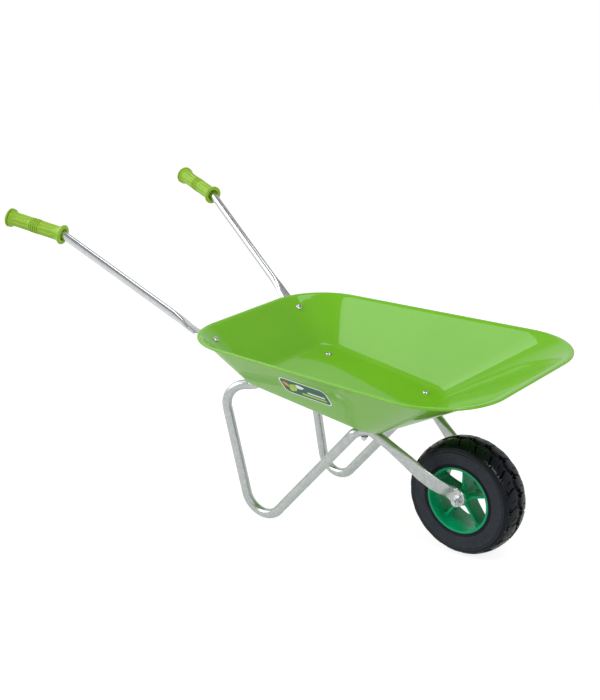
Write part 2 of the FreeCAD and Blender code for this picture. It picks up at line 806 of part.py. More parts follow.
def bolt_places(side):
    """Name, point on the outer face, normal and clamped depth below it, for each bolt."""
    gap = size("contact_gap")
    strip = size("flat_handle") + 2 * gap
    wall, wall_normal, _ = rear_corner(HANDLE_BOLT)
    wall += wall_normal * CORNER_LIFT
    return [
        ("handle", on_side(wall, side), on_side(wall_normal, side),
         strip + CORNER_LIFT + BOLT_SLACK),
        ("rear_floor", on_side(under_floor(*REAR_BOLT, 0), side), FLOOR_NORMAL,
         strip + size("flat_frame") + gap + BOLT_SLACK),
        ("front_floor", on_side(under_floor(*FRONT_BOLT, 0), side), FLOOR_NORMAL,
         size("frame_tube") + FRONT_DROP),
    ]


def make_fasteners(side_name, side):
    """A pan head bolt, a washer and a nut at each of the three tray bolts of a side."""
    head = "bolt_head_height"
    for bolt_name, point, normal, depth in bolt_places(side):
        name = f"{bolt_name}_bolt_{side_name}"
        stack = f"{round(depth, 3)}+tray_wall+washer_thickness+nut_height+bolt_tail"
        bolt = turned(
            name,
            [
                ("0", f"-({stack})"), ("bolt_radius-0.5", f"-({stack})"),
                ("bolt_radius", f"-({stack}-0.5)"), ("bolt_radius", "0"),
                ("bolt_head_radius", "0"), ("bolt_head_radius", "0.9"),
                ("bolt_head_radius-1.1", f"{head}-0.4"), ("bolt_head_radius-2.6", head),
                ("0", head),
            ],
        )
        place(bolt, point + normal * size("tray_wall"), normal, name)
        washer_name = f"{bolt_name}_washer_{side_name}"
        washer = ring(washer_name, "washer_radius", "bolt_hole_radius", "washer_thickness")
        place(washer, point - normal * depth, -normal, washer_name)
        nut_name = f"{bolt_name}_nut_{side_name}"
        nut = hexagon(nut_name, "nut_width", "nut_height", "bolt_radius")
        place(nut, point - normal * (depth + size("washer_thickness")), -normal, nut_name)


LABEL_ALONG = 0.5
LABEL_UP = 0.53
LABEL_GAP = 0.35


def make_label():
    """A blank oval-cornered sticker on the outside of the right wall."""
    def wall_point(along, up):
        low = FLOOR_REAR + (FLOOR_FRONT - FLOOR_REAR) * along
        low_half = size(f"floor_rear_half+(floor_front_half-floor_rear_half)*{along}")
        top = RIM_FRONT + RIM_BACK * size(f"rim_length-rim_lip-(rim_length-2*rim_lip)*{along}")
        top_half = size(f"rim_rear_half-rim_lip+(rim_front_half-rim_rear_half)*{along}")
        low_point = Vector(low.x, -low_half, low.z)
        top_point = Vector(top.x, -top_half, top.z)
        return low_point + (top_point - low_point) * up

    centre = wall_point(LABEL_ALONG, LABEL_UP)
    along = wall_point(LABEL_ALONG + 0.1, LABEL_UP) - wall_point(LABEL_ALONG - 0.1, LABEL_UP)
    rise = wall_point(LABEL_ALONG, LABEL_UP + 0.1) - wall_point(LABEL_ALONG, LABEL_UP - 0.1)
    along.normalize()
    outwards = along.cross(rise).normalize()
    body = new_body("side_label")
    outline = new_sketch(body, "label_outline")
    half_length, half_height = "label_length/2", "label_height/2"
    add_loop(
        outline,
        [
            (f"-{half_length}", f"-{half_height}"), (half_length, f"-{half_height}"),
            (half_length, half_height), (f"-{half_length}", half_height),
        ],
        ["label_corner"] * 4,
    )
    pad(body, outline, "label_thickness")
    body.Label = "side_label"
    base = centre + outwards * LABEL_GAP + Vector(size("axle_offset"), 0, 0)
    body.Placement = Placement(base, Rotation(along, outwards.cross(along), outwards, "XYZ"))
    nodes.append(body)


# ---------------------------------------------------------------- build, check and write

def build():
    make_tray()
    for side_name, side in SIDES.items():
        make_frame_tube(side_name, side)
        make_handle_tube(side_name, side)
        make_grip(side_name, side)
        make_bush(side_name, side)
        make_fasteners(side_name, side)
    make_tyre()
    make_wheel_rim()
    make_axle()
    make_label()
    doc.recompute()


def check():
    for item in doc.Objects:
        if "Invalid" in item.State or "Error" in item.State:
            raise RuntimeError(f"{item.Label} failed: {item.State}")
    for node in nodes:
        if node.Shape.isNull() or not node.Shape.isValid():
            raise RuntimeError(f"{node.Label} has no valid shape")
        if node.Shape.Volume <= 0 or not node.Shape.Solids:
            raise RuntimeError(f"{node.Label} is not a solid")


def write():
    os.makedirs("parts", exist_ok=True)
    for node in nodes:
        node.Shape.exportStep(f"parts/{node.Label}.step")


build()
check()
write()
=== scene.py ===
import json
import math

import bmesh
import bpy
import numpy as np
from mathutils import Matrix, Vector


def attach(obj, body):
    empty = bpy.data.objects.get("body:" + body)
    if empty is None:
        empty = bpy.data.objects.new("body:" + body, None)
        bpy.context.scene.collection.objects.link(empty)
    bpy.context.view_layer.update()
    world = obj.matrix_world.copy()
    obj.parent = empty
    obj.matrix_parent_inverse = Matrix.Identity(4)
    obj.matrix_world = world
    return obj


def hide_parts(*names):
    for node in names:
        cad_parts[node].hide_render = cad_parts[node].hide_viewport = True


# A child's steel wheelbarrow.  Lengths are in millimetres, with X measured forward from the
# axle and Z up from the ground; to_row() turns them into the row frame's metres.

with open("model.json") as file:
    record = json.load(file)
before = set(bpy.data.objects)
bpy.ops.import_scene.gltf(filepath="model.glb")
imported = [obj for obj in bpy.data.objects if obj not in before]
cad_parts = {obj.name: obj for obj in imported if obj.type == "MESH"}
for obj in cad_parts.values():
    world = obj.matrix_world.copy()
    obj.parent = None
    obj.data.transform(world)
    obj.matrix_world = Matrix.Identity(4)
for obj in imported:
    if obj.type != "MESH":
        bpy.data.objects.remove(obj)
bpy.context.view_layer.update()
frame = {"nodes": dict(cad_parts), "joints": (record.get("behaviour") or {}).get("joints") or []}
AXLE_X = frame["joints"][0]["pos_m"][0]
MM = 0.001
SIDES = {"left": 1, "right": -1}
UP = Vector((0, 0, 1))
ACROSS = Vector((0, 1, 0))

TYRE_RADIUS = 81.5
WHEEL_CENTRE = Vector((0, 0, TYRE_RADIUS))
WALL = 1.2


def to_row(point):
    return (point[0] * MM + AXLE_X, point[1] * MM, point[2] * MM)


def on_side(point, side):
    return Vector((point[0], point[1] * side, point[2]))


def smooth_step(low, high, value):
    share = np.clip((value - low) / (high - low), 0, 1)
    return share * share * (3 - 2 * share)


# ---------------------------------------------------------------- materials

def linear(red, green, blue):
    """A colour given as 0 to 255 on screen, as the shader's own linear values."""
    parts = [value / 255 for value in (red, green, blue)]
    return [v / 12.92 if v <= 0.04045 else ((v + 0.055) / 1.055) ** 2.4 for v in parts] + [1]


class Surface:
    """A material on one Principled shader, with helpers for its procedural detail."""

    def __init__(self, name, colour, **inputs):
        self.material = bpy.data.materials.new(name)
        self.material.use_nodes = True
        self.nodes = self.material.node_tree.nodes
        self.links = self.material.node_tree.links
        self.shader = self.nodes["Principled BSDF"]
        self.shader.inputs["Base Color"].default_value = colour
        for key, value in inputs.items():
            self.shader.inputs[key.replace("_", " ")].default_value = value
        self.place = self.nodes.new("ShaderNodeTexCoord").outputs["Object"]

    def noise(self, scale, detail, roughness=0.5):
        """Noise in the object's own metres, so that it stays on the surface."""
        node = self.nodes.new("ShaderNodeTexNoise")
        node.inputs["Scale"].default_value = scale
        node.inputs["Detail"].default_value = detail
        node.inputs["Roughness"].default_value = roughness
        self.links.new(self.place, node.inputs["Vector"])
        return node.outputs["Fac"]

    def cells(self, scale):
        node = self.nodes.new("ShaderNodeTexVoronoi")
        node.inputs["Scale"].default_value = scale
        self.links.new(self.place, node.inputs["Vector"])
        return node.outputs["Color"]

    def spread(self, source, socket, low, high):
        """Drive a number socket between two values."""
        node = self.nodes.new("ShaderNodeMapRange")
        node.inputs["From Min"].default_value = 0.3
        node.inputs["From Max"].default_value = 0.7
        node.inputs["To Min"].default_value = low
        node.inputs["To Max"].default_value = high
        self.links.new(source, node.inputs["Value"])
        self.links.new(node.outputs["Result"], self.shader.inputs[socket])

    def tint(self, source, first, second, low=0.3, high=0.7):
        """Run the base colour from first to second along a source."""
        ramp = self.nodes.new("ShaderNodeValToRGB")
        ramp.color_ramp.elements[0].position = low
        ramp.color_ramp.elements[0].color = first
        ramp.color_ramp.elements[1].position = high
        ramp.color_ramp.elements[1].color = second
        self.links.new(source, ramp.inputs["Fac"])
        self.links.new(ramp.outputs["Color"], self.shader.inputs["Base Color"])

    def bump(self, source, depth):
        """Add fine relief; depth is in metres."""
        node = self.nodes.new("ShaderNodeBump")
        node.inputs["Distance"].default_value = depth
        self.links.new(source, node.inputs["Height"])
        self.links.new(node.outputs["Normal"], self.shader.inputs["Normal"])


def make_materials():
    """Every finish of the wheelbarrow by name, and a lighter copy of the galvanised finish that
    paints light into the handle tubes.
    """
    paint = Surface(
        "tray_paint", linear(108, 178, 40), Roughness=0.38, Coat_Weight=0.75,
        Coat_Roughness=0.04, Coat_IOR=1.5, Specular_IOR_Level=0.1,
    )
    paint.tint(paint.noise(9, 2), linear(108, 177, 24), linear(113, 181, 30))
    paint.spread(paint.noise(60, 3), "Roughness", 0.28, 0.36)
    paint.bump(paint.noise(170, 2), 0.00005)

    zinc = Surface("galvanised_tube", linear(200, 204, 202), Metallic=1.0, Roughness=0.3)
    zinc.tint(zinc.cells(240), linear(192, 197, 196), linear(208, 212, 210), 0.1, 0.9)
    zinc.spread(zinc.noise(90, 4, 0.6), "Roughness", 0.24, 0.38)
    zinc.bump(zinc.noise(500, 3), 0.00002)

    # A lighter, glossier copy of the galvanised finish for the handle tubes. Its lighter colour is
    # painted light: the handles are made to look more brightly lit than the frame tube.
    painted_light_zinc = Surface("handle_tube_painted_light", linear(226, 228, 230), Metallic=1.0, Roughness=0.16)
    painted_light_zinc.tint(painted_light_zinc.cells(260), linear(220, 223, 226), linear(233, 235, 236), 0.1, 0.9)
    painted_light_zinc.spread(painted_light_zinc.noise(70, 4, 0.6), "Roughness", 0.12, 0.22)
    painted_light_zinc.bump(painted_light_zinc.noise(500, 3), 0.00001)

    plated = Surface("zinc_plated_steel", linear(214, 216, 220), Metallic=1.0, Roughness=0.2)
    plated.tint(plated.noise(260, 3), linear(204, 208, 214), linear(224, 225, 226))
    plated.spread(plated.noise(420, 3), "Roughness", 0.14, 0.3)
    plated.bump(plated.noise(900, 2), 0.00001)

    grip = Surface(
        "grip_plastic", linear(136, 178, 40), Roughness=0.36, Specular_IOR_Level=0.35,
        Subsurface_Weight=0.08, Subsurface_Scale=0.004,
    )
    grip.tint(grip.noise(40, 3), linear(132, 174, 36), linear(141, 183, 45))
    grip.spread(grip.noise(220, 3), "Roughness", 0.3, 0.44)
    grip.bump(grip.noise(900, 3), 0.00002)

    rim = Surface("rim_plastic", linear(0, 150, 98), Roughness=0.24, Specular_IOR_Level=0.22)
    rim.tint(rim.noise(30, 3), linear(0, 148, 96), linear(4, 158, 105))
    rim.spread(rim.noise(150, 3), "Roughness", 0.2, 0.32)
    rim.bump(rim.noise(600, 3), 0.00001)

    wall = Surface("tyre_sidewall", linear(28, 34, 44), Roughness=0.62, Specular_IOR_Level=0.4)
    wall.tint(wall.noise(45, 4), linear(25, 31, 41), linear(32, 39, 49))
    wall.spread(wall.noise(120, 4), "Roughness", 0.52, 0.72)
    wall.bump(wall.noise(1300, 4, 0.7), 0.00012)

    tread = Surface("tyre_tread", linear(6, 9, 18), Roughness=0.2, Specular_IOR_Level=0.22)
    tread.tint(tread.noise(60, 4), linear(5, 8, 16), linear(9, 13, 23))
    tread.spread(tread.noise(160, 4), "Roughness", 0.2, 0.3)
    tread.bump(tread.noise(700, 3), 0.00002)

    bearing = Surface("bearing_plastic", linear(222, 222, 214), Roughness=0.45)
    bearing.tint(bearing.noise(300, 3), linear(216, 216, 208), linear(228, 228, 222))
    bearing.spread(bearing.noise(300, 3), "Roughness", 0.4, 0.55)
    bearing.bump(bearing.noise(900, 2), 0.00001)

    prints = {
        "label_white": (240, 242, 236), "label_green": (18, 96, 66),
        "label_lime": (166, 206, 74), "label_orange": (238, 150, 46),
    }
    surfaces = {
        "paint": paint, "zinc": zinc, "painted_light_zinc": painted_light_zinc, "plated": plated, "grip": grip,
        "rim": rim, "sidewall": wall, "tread": tread, "bearing": bearing,
    }
    for name, colour in prints.items():
        ink = Surface(
            name, linear(*colour), Roughness=0.34, Specular_IOR_Level=0.15,
            Coat_Weight=0.12, Coat_Roughness=0.12,
        )
        darker = [value * 0.94 for value in linear(*colour)[:3]] + [1]
        ink.tint(ink.noise(120, 3), darker, linear(*colour))
        ink.spread(ink.noise(200, 3), "Roughness", 0.26, 0.38)
        ink.bump(ink.noise(700, 3), 0.00002)
        surfaces[name] = ink
    return {name: surface.material for name, surface in surfaces.items()}


MATERIALS = make_materials()


# ---------------------------------------------------------------- mesh building

class Form:
    """Vertices and faces in millimetres, gathered before they become one piece."""

    def __init__(self):
        self.points = []
        self.faces = []
        self.kinds = []

    def skin(self, rings, looped=False, caps=(False, False), kind=0, kinds=None):
        """Quads between successive closed rings of points.

        looped joins the last ring to the first, and caps closes the first and last ring.
        kinds gives a material number for each row.
        """
        start, count = len(self.points), len(rings[0])
        for ring in rings:
            self.points.extend(Vector(point) for point in ring)
        rows = len(rings) if looped else len(rings) - 1
        for row in range(rows):
            here = start + row * count
            there = start + (row + 1) % len(rings) * count
            for column in range(count):
                following = (column + 1) % count
                self.faces.append(
                    (here + column, here + following, there + following, there + column)
                )
                self.kinds.append(kinds[row] if kinds else kind)
        last = start + (len(rings) - 1) * count
        if caps[0]:
            self.faces.append(tuple(range(start + count - 1, start - 1, -1)))
            self.kinds.append(kinds[0] if kinds else kind)
        if caps[1]:
            self.faces.append(tuple(range(last, last + count)))
            self.kinds.append(kinds[-1] if kinds else kind)
        return self

    def turn(self, profile, steps, looped=False, shape=None):
        """Skin a profile of (radius, height) pairs turned about Z.

        A radius of zero at either end closes to a point.  shape(angle, radius, height) gives
        a changed radius.
        """
        angles = [2 * math.pi * step / steps for step in range(steps)]
        rings = []
        for radius, height in profile:
            ring = []
            for angle in angles:
                reach = max(shape(angle, radius, height) if shape else radius, 0.02)
                ring.append((reach * math.cos(angle), reach * math.sin(angle), height))
            rings.append(ring)
        caps = (profile[0][0] == 0 and not looped, profile[-1][0] == 0 and not looped)
        return self.skin(rings, looped=looped, caps=caps)

    def moved(self, base, axis):
        """Stand the points, drawn about Z, along axis at base."""
        turn = UP.rotation_difference(Vector(axis)).to_matrix()
        self.points = [turn @ point + Vector(base) for point in self.points]
        return self

    def piece(self, name, body, nodes, slot, materials, crease):
        """Make the object, with edges sharper than crease degrees left sharp."""
        data = bpy.data.meshes.new(name)
        data.from_pydata([to_row(point) for point in self.points], [], self.faces)
        for material in materials:
            data.materials.append(MATERIALS[material])
        data.polygons.foreach_set("material_index", self.kinds)
        finish_mesh(data, crease)
        item = bpy.data.objects.new(name, data)
        bpy.context.scene.collection.objects.link(item)
        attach(item, body)
        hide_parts(*nodes)
        return item


def finish_mesh(data, crease):
    """Weld, face outwards and shade smooth, but keep the sharp edges."""
    work = bmesh.new()
    work.from_mesh(data)
    bmesh.ops.remove_doubles(work, verts=work.verts, dist=0.000002)
    bmesh.ops.dissolve_degenerate(work, edges=work.edges, dist=0.0000015)
    bmesh.ops.recalc_face_normals(work, faces=work.faces)
    limit = math.radians(crease)
    for face in work.faces:
        face.smooth = True
    for edge in work.edges:
        edge.smooth = len(edge.link_faces) != 2 or edge.calc_face_angle(0) < limit
    work.to_mesh(data)
    work.free()


# ---------------------------------------------------------------- places shared by pieces

def tilted_axes(degrees):
    """Backward and upward directions of a plane that rises to the rear."""
    angle = math.radians(degrees)
    return Vector((-math.cos(angle), 0, math.sin(angle))), Vector(
        (math.sin(angle), 0, math.cos(angle)))


FLOOR_BACK, FLOOR_NORMAL = tilted_axes(8.5)
RIM_BACK, RIM_NORMAL = tilted_axes(0.66)
FLOOR_FRONT = Vector((-86, 0, 174.5))
FLOOR_LENGTH, FLOOR_REAR_HALF, FLOOR_FRONT_HALF = 232, 101, 95
FLOOR_CORNER, FLOOR_FILLET = 30, 16
FLOOR_REAR = FLOOR_FRONT + FLOOR_BACK * FLOOR_LENGTH
RIM_FRONT = Vector((97.6, 0, 268))
RIM_LENGTH, RIM_REAR_HALF, RIM_FRONT_HALF, RIM_LIP = 484, 153.7, 178.4, 4.5
RIM_REAR_CORNER, RIM_FRONT_CORNER = 86, 95
WALL_TOP = RIM_FRONT + RIM_BACK * (RIM_LENGTH - RIM_LIP)
HANDLE_BOLT = 0.76
CORNER_TURN = 20
CORNER_LIFT = 0.2
REAR_BOLT = (-285.5, 69)
FRONT_BOLT = (-115.5, 73)
FRAME_TUBE, HANDLE_TUBE = 14, 12
FLAT_FRAME, FLAT_HANDLE = 4, 3.5
GAP = 0.15
BOLT_SLACK = 0.2
FRONT_DROP = 1.7
TAB_THICKNESS = 3.5
TAB_CENTRE = 22.75


def under_floor(x, y, depth):
    along = (FLOOR_FRONT.x - x) / -FLOOR_BACK.x
    point = FLOOR_FRONT + FLOOR_BACK * along - FLOOR_NORMAL * depth
    return Vector((point.x, y, point.z))


def rear_corner(share):
    """A point, inward normal and upward direction on the tray's left rear corner.

    The point is on the outer face, CORNER_TURN degrees round from the rear wall, and share of
    the way from the floor's outline to the rim's.
    """
    turn = math.radians(CORNER_TURN)
    ends = []
    for base, back, length, rear_half, front_half, radius in (
        (FLOOR_FRONT, FLOOR_BACK, FLOOR_LENGTH, FLOOR_REAR_HALF, FLOOR_FRONT_HALF,
         FLOOR_CORNER),
        (RIM_FRONT, RIM_BACK, RIM_LENGTH - RIM_LIP, RIM_REAR_HALF - RIM_LIP,
         RIM_FRONT_HALF - RIM_LIP, RIM_REAR_CORNER - RIM_LIP),
    ):
        taper = math.atan2(rear_half - front_half, length)
        middle = rear_half - radius * math.tan(math.pi / 4 + taper / 2)
        centre = base + back * (length - radius) + ACROSS * middle
        outwards = back * math.cos(turn) + ACROSS * math.sin(turn)
        onwards = ACROSS * math.cos(turn) - back * math.sin(turn)
        ends.append((centre + outwards * radius, onwards * radius))
    (low, low_tangent), (high, high_tangent) = ends
    upward = (high - low).normalized()
    tangent = low_tangent.lerp(high_tangent, share)
    return low.lerp(high, share), tangent.cross(upward).normalized(), upward


# ---------------------------------------------------------------- tray

def rounded_outline(corners, radii, straight=14, curve=22):
    """Points and outward directions along a closed outline with rounded corners."""
    points, normals = [], []
    count = len(corners)
    arcs = []
    for index in range(count):
        corner = Vector(corners[index])
        into = (Vector(corners[index - 1]) - corner).normalized()
        out = (Vector(corners[(index + 1) % count]) - corner).normalized()
        half = into.angle(out) / 2
        reach = radii[index] / math.tan(half)
        middle = corner + (into + out).normalized() * (radii[index] / math.sin(half))
        arcs.append((corner + into * reach, corner + out * reach, middle))
    for index in range(count):
        start, end, middle = arcs[index]
        first, last = start - middle, end - middle
        span = first.angle(last)
        for step in range(curve + 1):
            share = step / curve
            arm = (first * math.sin((1 - share) * span) + last * math.sin(share * span))
            arm /= math.sin(span)
            points.append(middle + arm)
            normals.append(arm.normalized())
        following = arcs[(index + 1) % count][0]
        away = last.normalized()
        for step in range(1, straight):
            points.append(end.lerp(following, step / straight))
            normals.append(away)
    return points, normals


def lifted(outline, base, back, up):
    """Take an outline drawn flat, with X forward, onto a tilted plane."""
    points, normals = outline
    rows = []
    for flat in (points, normals):
        rows.append(np.array([[-back.x * p.x, p.y, -back.z * p.x] for p in flat]))
    return rows[0] + np.array(base), rows[1], np.array(up)


def tray_outline(length, rear_half, front_half, insets, radii):
    rear, front, side = insets
    return rounded_outline(
        [(-length + rear, side - rear_half), (-front, side - front_half),
         (-front, front_half - side), (-length + rear, rear_half - side)],
        radii,
    )


BEAD = 1.8
WALL_ROWS = 7
# About each wall's slope from the rim's plane, in degrees: rear, front and side.
WALL_SLOPES = (43, 28, 53)
# How far the sheet's inner face steps in at the floor, as a share of its thickness.
FLOOR_STEPS = (0.31, 0.31, 0.49)
RIM_CORNER_STEP = 1.7


def unit(rows):
    return rows / np.linalg.norm(rows, axis=1, keepdims=True)


def wall_rows(floor, floor_normals, rim, radius, stop):
    """Rings from the floor's flat, round its corner and up the wall to stop below the rim."""
    inward, upward = -floor_normals, unit(rim - floor)
    angle = np.arccos(np.sum(inward * upward, axis=1, keepdims=True))
    reach = radius / np.tan(angle / 2)
    centre = floor + unit(inward + upward) * radius / np.sin(angle / 2)
    first, last = floor + inward * reach - centre, floor + upward * reach - centre
    span = math.pi - angle
    middle = floor.mean(axis=0)
    rings = [middle + (floor + inward * reach - middle) * share for share in (0.35, 0.7, 0.93)]
    for step in range(9):
        share = step / 8
        arm = first * np.sin((1 - share) * span) + last * np.sin(share * span)
        rings.append(centre + arm / np.sin(span))
    top = rim - upward * stop
    low = rings[-1]
    rings.extend(low + (top - low) * (step / WALL_ROWS) for step in range(1, WALL_ROWS + 1))
    return rings, upward


def bezier(first, second, third, fourth, shares):
    return [
        first * (1 - s) ** 3 + second * 3 * s * (1 - s) ** 2 + third * 3 * s * s * (1 - s)
        + fourth * s ** 3 for s in shares
    ]


def make_tray():
    """A pressed sheet shell with a rolled bead, as one closed skin."""
    inner_floor, inner_out, _ = lifted(tray_outline(
        FLOOR_LENGTH, FLOOR_REAR_HALF, FLOOR_FRONT_HALF,
        [WALL * step for step in FLOOR_STEPS], [FLOOR_CORNER - WALL / 2] * 4,
    ), FLOOR_FRONT + FLOOR_NORMAL * WALL, FLOOR_BACK, FLOOR_NORMAL)
    outer_floor, outer_out, _ = lifted(tray_outline(
        FLOOR_LENGTH, FLOOR_REAR_HALF, FLOOR_FRONT_HALF, (0, 0, 0), [FLOOR_CORNER] * 4,
    ), FLOOR_FRONT, FLOOR_BACK, FLOOR_NORMAL)
    sheet = [WALL / math.sin(math.radians(slope)) for slope in WALL_SLOPES]
    edge_radii = [RIM_REAR_CORNER, RIM_FRONT_CORNER, RIM_FRONT_CORNER, RIM_REAR_CORNER]
    outer_radii = [radius - RIM_LIP for radius in edge_radii]
    inner_radii = [radius - RIM_CORNER_STEP for radius in outer_radii]
    inner_rim, _, _ = lifted(tray_outline(
        RIM_LENGTH, RIM_REAR_HALF, RIM_FRONT_HALF, [RIM_LIP + s for s in sheet], inner_radii,
    ), RIM_FRONT, RIM_BACK, RIM_NORMAL)
    outer_rim, _, _ = lifted(tray_outline(
        RIM_LENGTH, RIM_REAR_HALF, RIM_FRONT_HALF, [RIM_LIP] * 3, outer_radii,
    ), RIM_FRONT, RIM_BACK, RIM_NORMAL)
    edge, away, up = lifted(tray_outline(
        RIM_LENGTH, RIM_REAR_HALF, RIM_FRONT_HALF, [0] * 3, edge_radii,
    ), RIM_FRONT, RIM_BACK, RIM_NORMAL)

    inside, inner_up = wall_rows(inner_floor, inner_out, inner_rim, FLOOR_FILLET - WALL, 5)
    outside, outer_up = wall_rows(outer_floor, outer_out, outer_rim, FLOOR_FILLET, 6.5)
    centre = edge - away * BEAD - up * BEAD
    top = centre + up * BEAD
    rings = list(inside)
    start = inside[-1]
    rings += bezier(start, start + inner_up * 4, top - away * 2.4, top, (0.25, 0.5, 0.75))
    for step in range(12):
        angle = math.radians(90 - step * 24)
        rings.append(centre + away * (BEAD * math.cos(angle)) + up * (BEAD * math.sin(angle)))
    below = rings[-1]
    rings += bezier(
        below, below + up * 0.6 - away * 0.9, outside[-1] + outer_up * 2.2, outside[-1],
        (0.35, 0.7),
    )
    rings += outside[::-1]
    form = Form().skin([ring.tolist() for ring in rings], caps=(True, True))
    return form.piece("tray_shell", "frame", ["tray"], "tray_paint", ["paint"], crease=60)


# ---------------------------------------------------------------- tubes

TUBE_SIDES = 32
PATH_PITCH = 2.5


def squashed(width, thickness):
    """The outline of a tube pressed to that width and thickness, as (across, over)."""
    outline = []
    for step in range(TUBE_SIDES):
        angle = 2 * math.pi * step / TUBE_SIDES
        cosine, sine = math.cos(angle), math.sin(angle)
        flat = (width - thickness) / 2 * max(-1, min(1, cosine / 0.35))
        outline.append((flat + thickness / 2 * cosine, thickness / 2 * sine))
    return outline


class Bend:
    """One corner of a tube's path: where, how tightly it turns and its section there."""

    def __init__(self, point, radius, width, thickness, wide):
        self.point = Vector(point)
        self.radius = radius
        self.section = (width, thickness)
        self.wide = Vector(wide)


def trace(bends):
    """Sample a path: its points, the distance along it at each point, and the distance at each
    corner.
    """
    runs = []
    start = bends[0].point
    for before, bend, after in zip(bends, bends[1:], bends[2:]):
        into = (before.point - bend.point).normalized()
        out = (after.point - bend.point).normalized()
        half = into.angle(out) / 2
        reach = bend.radius / math.tan(half)
        middle = bend.point + (into + out).normalized() * (bend.radius / math.sin(half))
        first, last = bend.point + into * reach, bend.point + out * reach
        runs.append(("line", start, first, None))
        runs.append(("arc", first, last, middle))
        start = last
    runs.append(("line", start, bends[-1].point, None))
    points, corners, distance = [bends[0].point], [0.0], 0.0
    marks = [0.0]
    for kind, first, last, middle in runs:
        if kind == "line":
            length = (last - first).length
            if length < 0.01:
                continue
            steps = max(1, math.ceil(length / (PATH_PITCH * 2)))
            for step in range(1, steps + 1):
                points.append(first.lerp(last, step / steps))
                marks.append(distance + length * step / steps)
        else:
            arm, end = first - middle, last - middle
            span = arm.angle(end)
            length = span * arm.length
            steps = max(3, math.ceil(length / PATH_PITCH))
            for step in range(1, steps + 1):
                share = step / steps
                spoke = arm * math.sin((1 - share) * span) + end * math.sin(share * span)
                points.append(middle + spoke / math.sin(span))
                marks.append(distance + length * share)
            corners.append(distance + length / 2)
        distance += length
    corners.append(distance)
    return points, marks, corners


def bent_tube(bends, kinks=(), round_end=None):
    """Skin a tube whose section changes along its path.

    kinks are (corner number, distance from it, depth, length) pinches in its own plane.
    round_end is the radius of a rounded last end.
    """
    points, marks, corners = trace(bends)
    sections = np.array([bend.section for bend in bends])
    wides = np.array([bend.wide for bend in bends])
    rings = []
    for index, (point, mark) in enumerate(zip(points, marks)):
        ahead = points[min(index + 1, len(points) - 1)]
        behind = points[max(index - 1, 0)]
        along = (ahead - behind).normalized()
        wide = Vector([float(np.interp(mark, corners, wides[:, k])) for k in range(3)])
        side = (wide - along * wide.dot(along)).normalized()
        over = along.cross(side)
        width, thickness = (
            float(np.interp(mark, corners, sections[:, k])) for k in range(2)
        )
        for corner, offset, depth, length in kinks:
            away = (mark - corners[corner] - offset) / length
            thickness -= depth * math.exp(-away * away)
        rings.append([
            point + side * across + over * out for across, out in squashed(width, thickness)
        ])
    if round_end:
        end, side_ring = points[-1], rings[-1]
        along = (points[-1] - points[-2]).normalized()
        for degrees in (20, 38, 54, 68, 78, 85):
            angle = math.radians(degrees)
            ring = []
            for place in side_ring:
                arm = place - end
                ring.append(end + along * (round_end * math.sin(angle)) + squeeze(
                    arm, side, math.cos(angle)))
            rings.append(ring)
    return Form().skin(rings, caps=(True, True))


def squeeze(arm, side, share):
    """Shorten the part of arm that lies along side."""
    across = side * arm.dot(side)
    return arm - across * (1 - share)


LEG_TOP = (-348.6, 98.8, 197.2)
FOOT = (-303.3, 88, -30.6)
ARCH_REAR = (-124.8, 83.4, 171)
ARCH_FRONT = (-112, 68.1, 171)
BLADE_ROUND = (-86.8, 60.4, 153)
FORK_STATIONS = (
    ((-74.1, 57.1, 143.4), 16.5, 11), ((-59.3, 53.2, 132.2), 19.5, 7.5),
    ((-41.4, 49.6, 118.5), 22, 5), ((-26, 42, 105.7), 23, 3.5), ((-16.4, 33.6, 97.2), 23, 3.5),
)
TAB_FOLD = (-10.4, 8.4)
TAB_MIDDLE = (-1.5, 3.3)
TAB_RADIUS = 12


def tall(along):
    return Vector((-along.z, 0, along.x)).normalized()


def make_frame_tube(side_name, side):
    """Rear strip, leg, foot, leg, arch, fork arm and axle tab, bent from one tube."""
    end_depth = FLAT_HANDLE + 2 * GAP + FLAT_FRAME / 2
    heading = (Vector((*REAR_BOLT, 0)) - Vector((LEG_TOP[0], LEG_TOP[1], 0))).normalized()
    across = Vector((-heading.y, heading.x * side, 0))

    def rear(x, drop=None):
        y = LEG_TOP[1] + (x - LEG_TOP[0]) * heading.y / heading.x
        if drop is None:
            return on_side((x, y, LEG_TOP[2]), side)
        return on_side(under_floor(x, y, drop), side)

    upright = Vector((0, side, 0))
    bends = [
        Bend(rear(-273, end_depth), 1, 20, FLAT_FRAME, across),
        Bend(rear(-294, end_depth), 6, 20, FLAT_FRAME, across),
        Bend(rear(-303) + UP * 0.3, 8, 17, 9, across),
        Bend(rear(-312), 8, FRAME_TUBE, FRAME_TUBE, across),
        Bend(on_side(LEG_TOP, side), 30, FRAME_TUBE, FRAME_TUBE, upright),
        Bend(on_side(FOOT, side), 32, FRAME_TUBE, FRAME_TUBE, upright),
        Bend(on_side(ARCH_REAR, side), 14, FRAME_TUBE, FRAME_TUBE, upright),
    ]
    path = [ARCH_FRONT, BLADE_ROUND] + [station[0] for station in FORK_STATIONS]
    path = [on_side(point, side) for point in path]
    for x, z in (TAB_FOLD, TAB_MIDDLE):
        path.append(Vector((x, side * TAB_CENTRE, TYRE_RADIUS + z)))
    sizes = [(FRAME_TUBE, FRAME_TUBE)] * 2 + [station[1:] for station in FORK_STATIONS]
    sizes += [(23, TAB_THICKNESS), (2 * TAB_RADIUS, TAB_THICKNESS)]
    turns = [10, 14, 12, 12, 20, 14, 5, 5, 1]
    for index, point in enumerate(path):
        before = path[max(index - 1, 0)]
        after = path[min(index + 1, len(path) - 1)]
        bends.append(Bend(point, turns[index], *sizes[index], tall(after - before) * side))
    kinks = (
        (4, 27, 0.7, 4), (4, 0, 0.5, 14), (5, -44, 0.6, 4), (5, 0, 0.6, 22), (5, 44, 0.6, 4),
    )
    form = bent_tube(bends, kinks, round_end=TAB_RADIUS)
    name = f"frame_tube_{side_name}"
    return form.piece(name + "_bent", "frame", [name], "galvanised_tube", ["zinc"], crease=50)


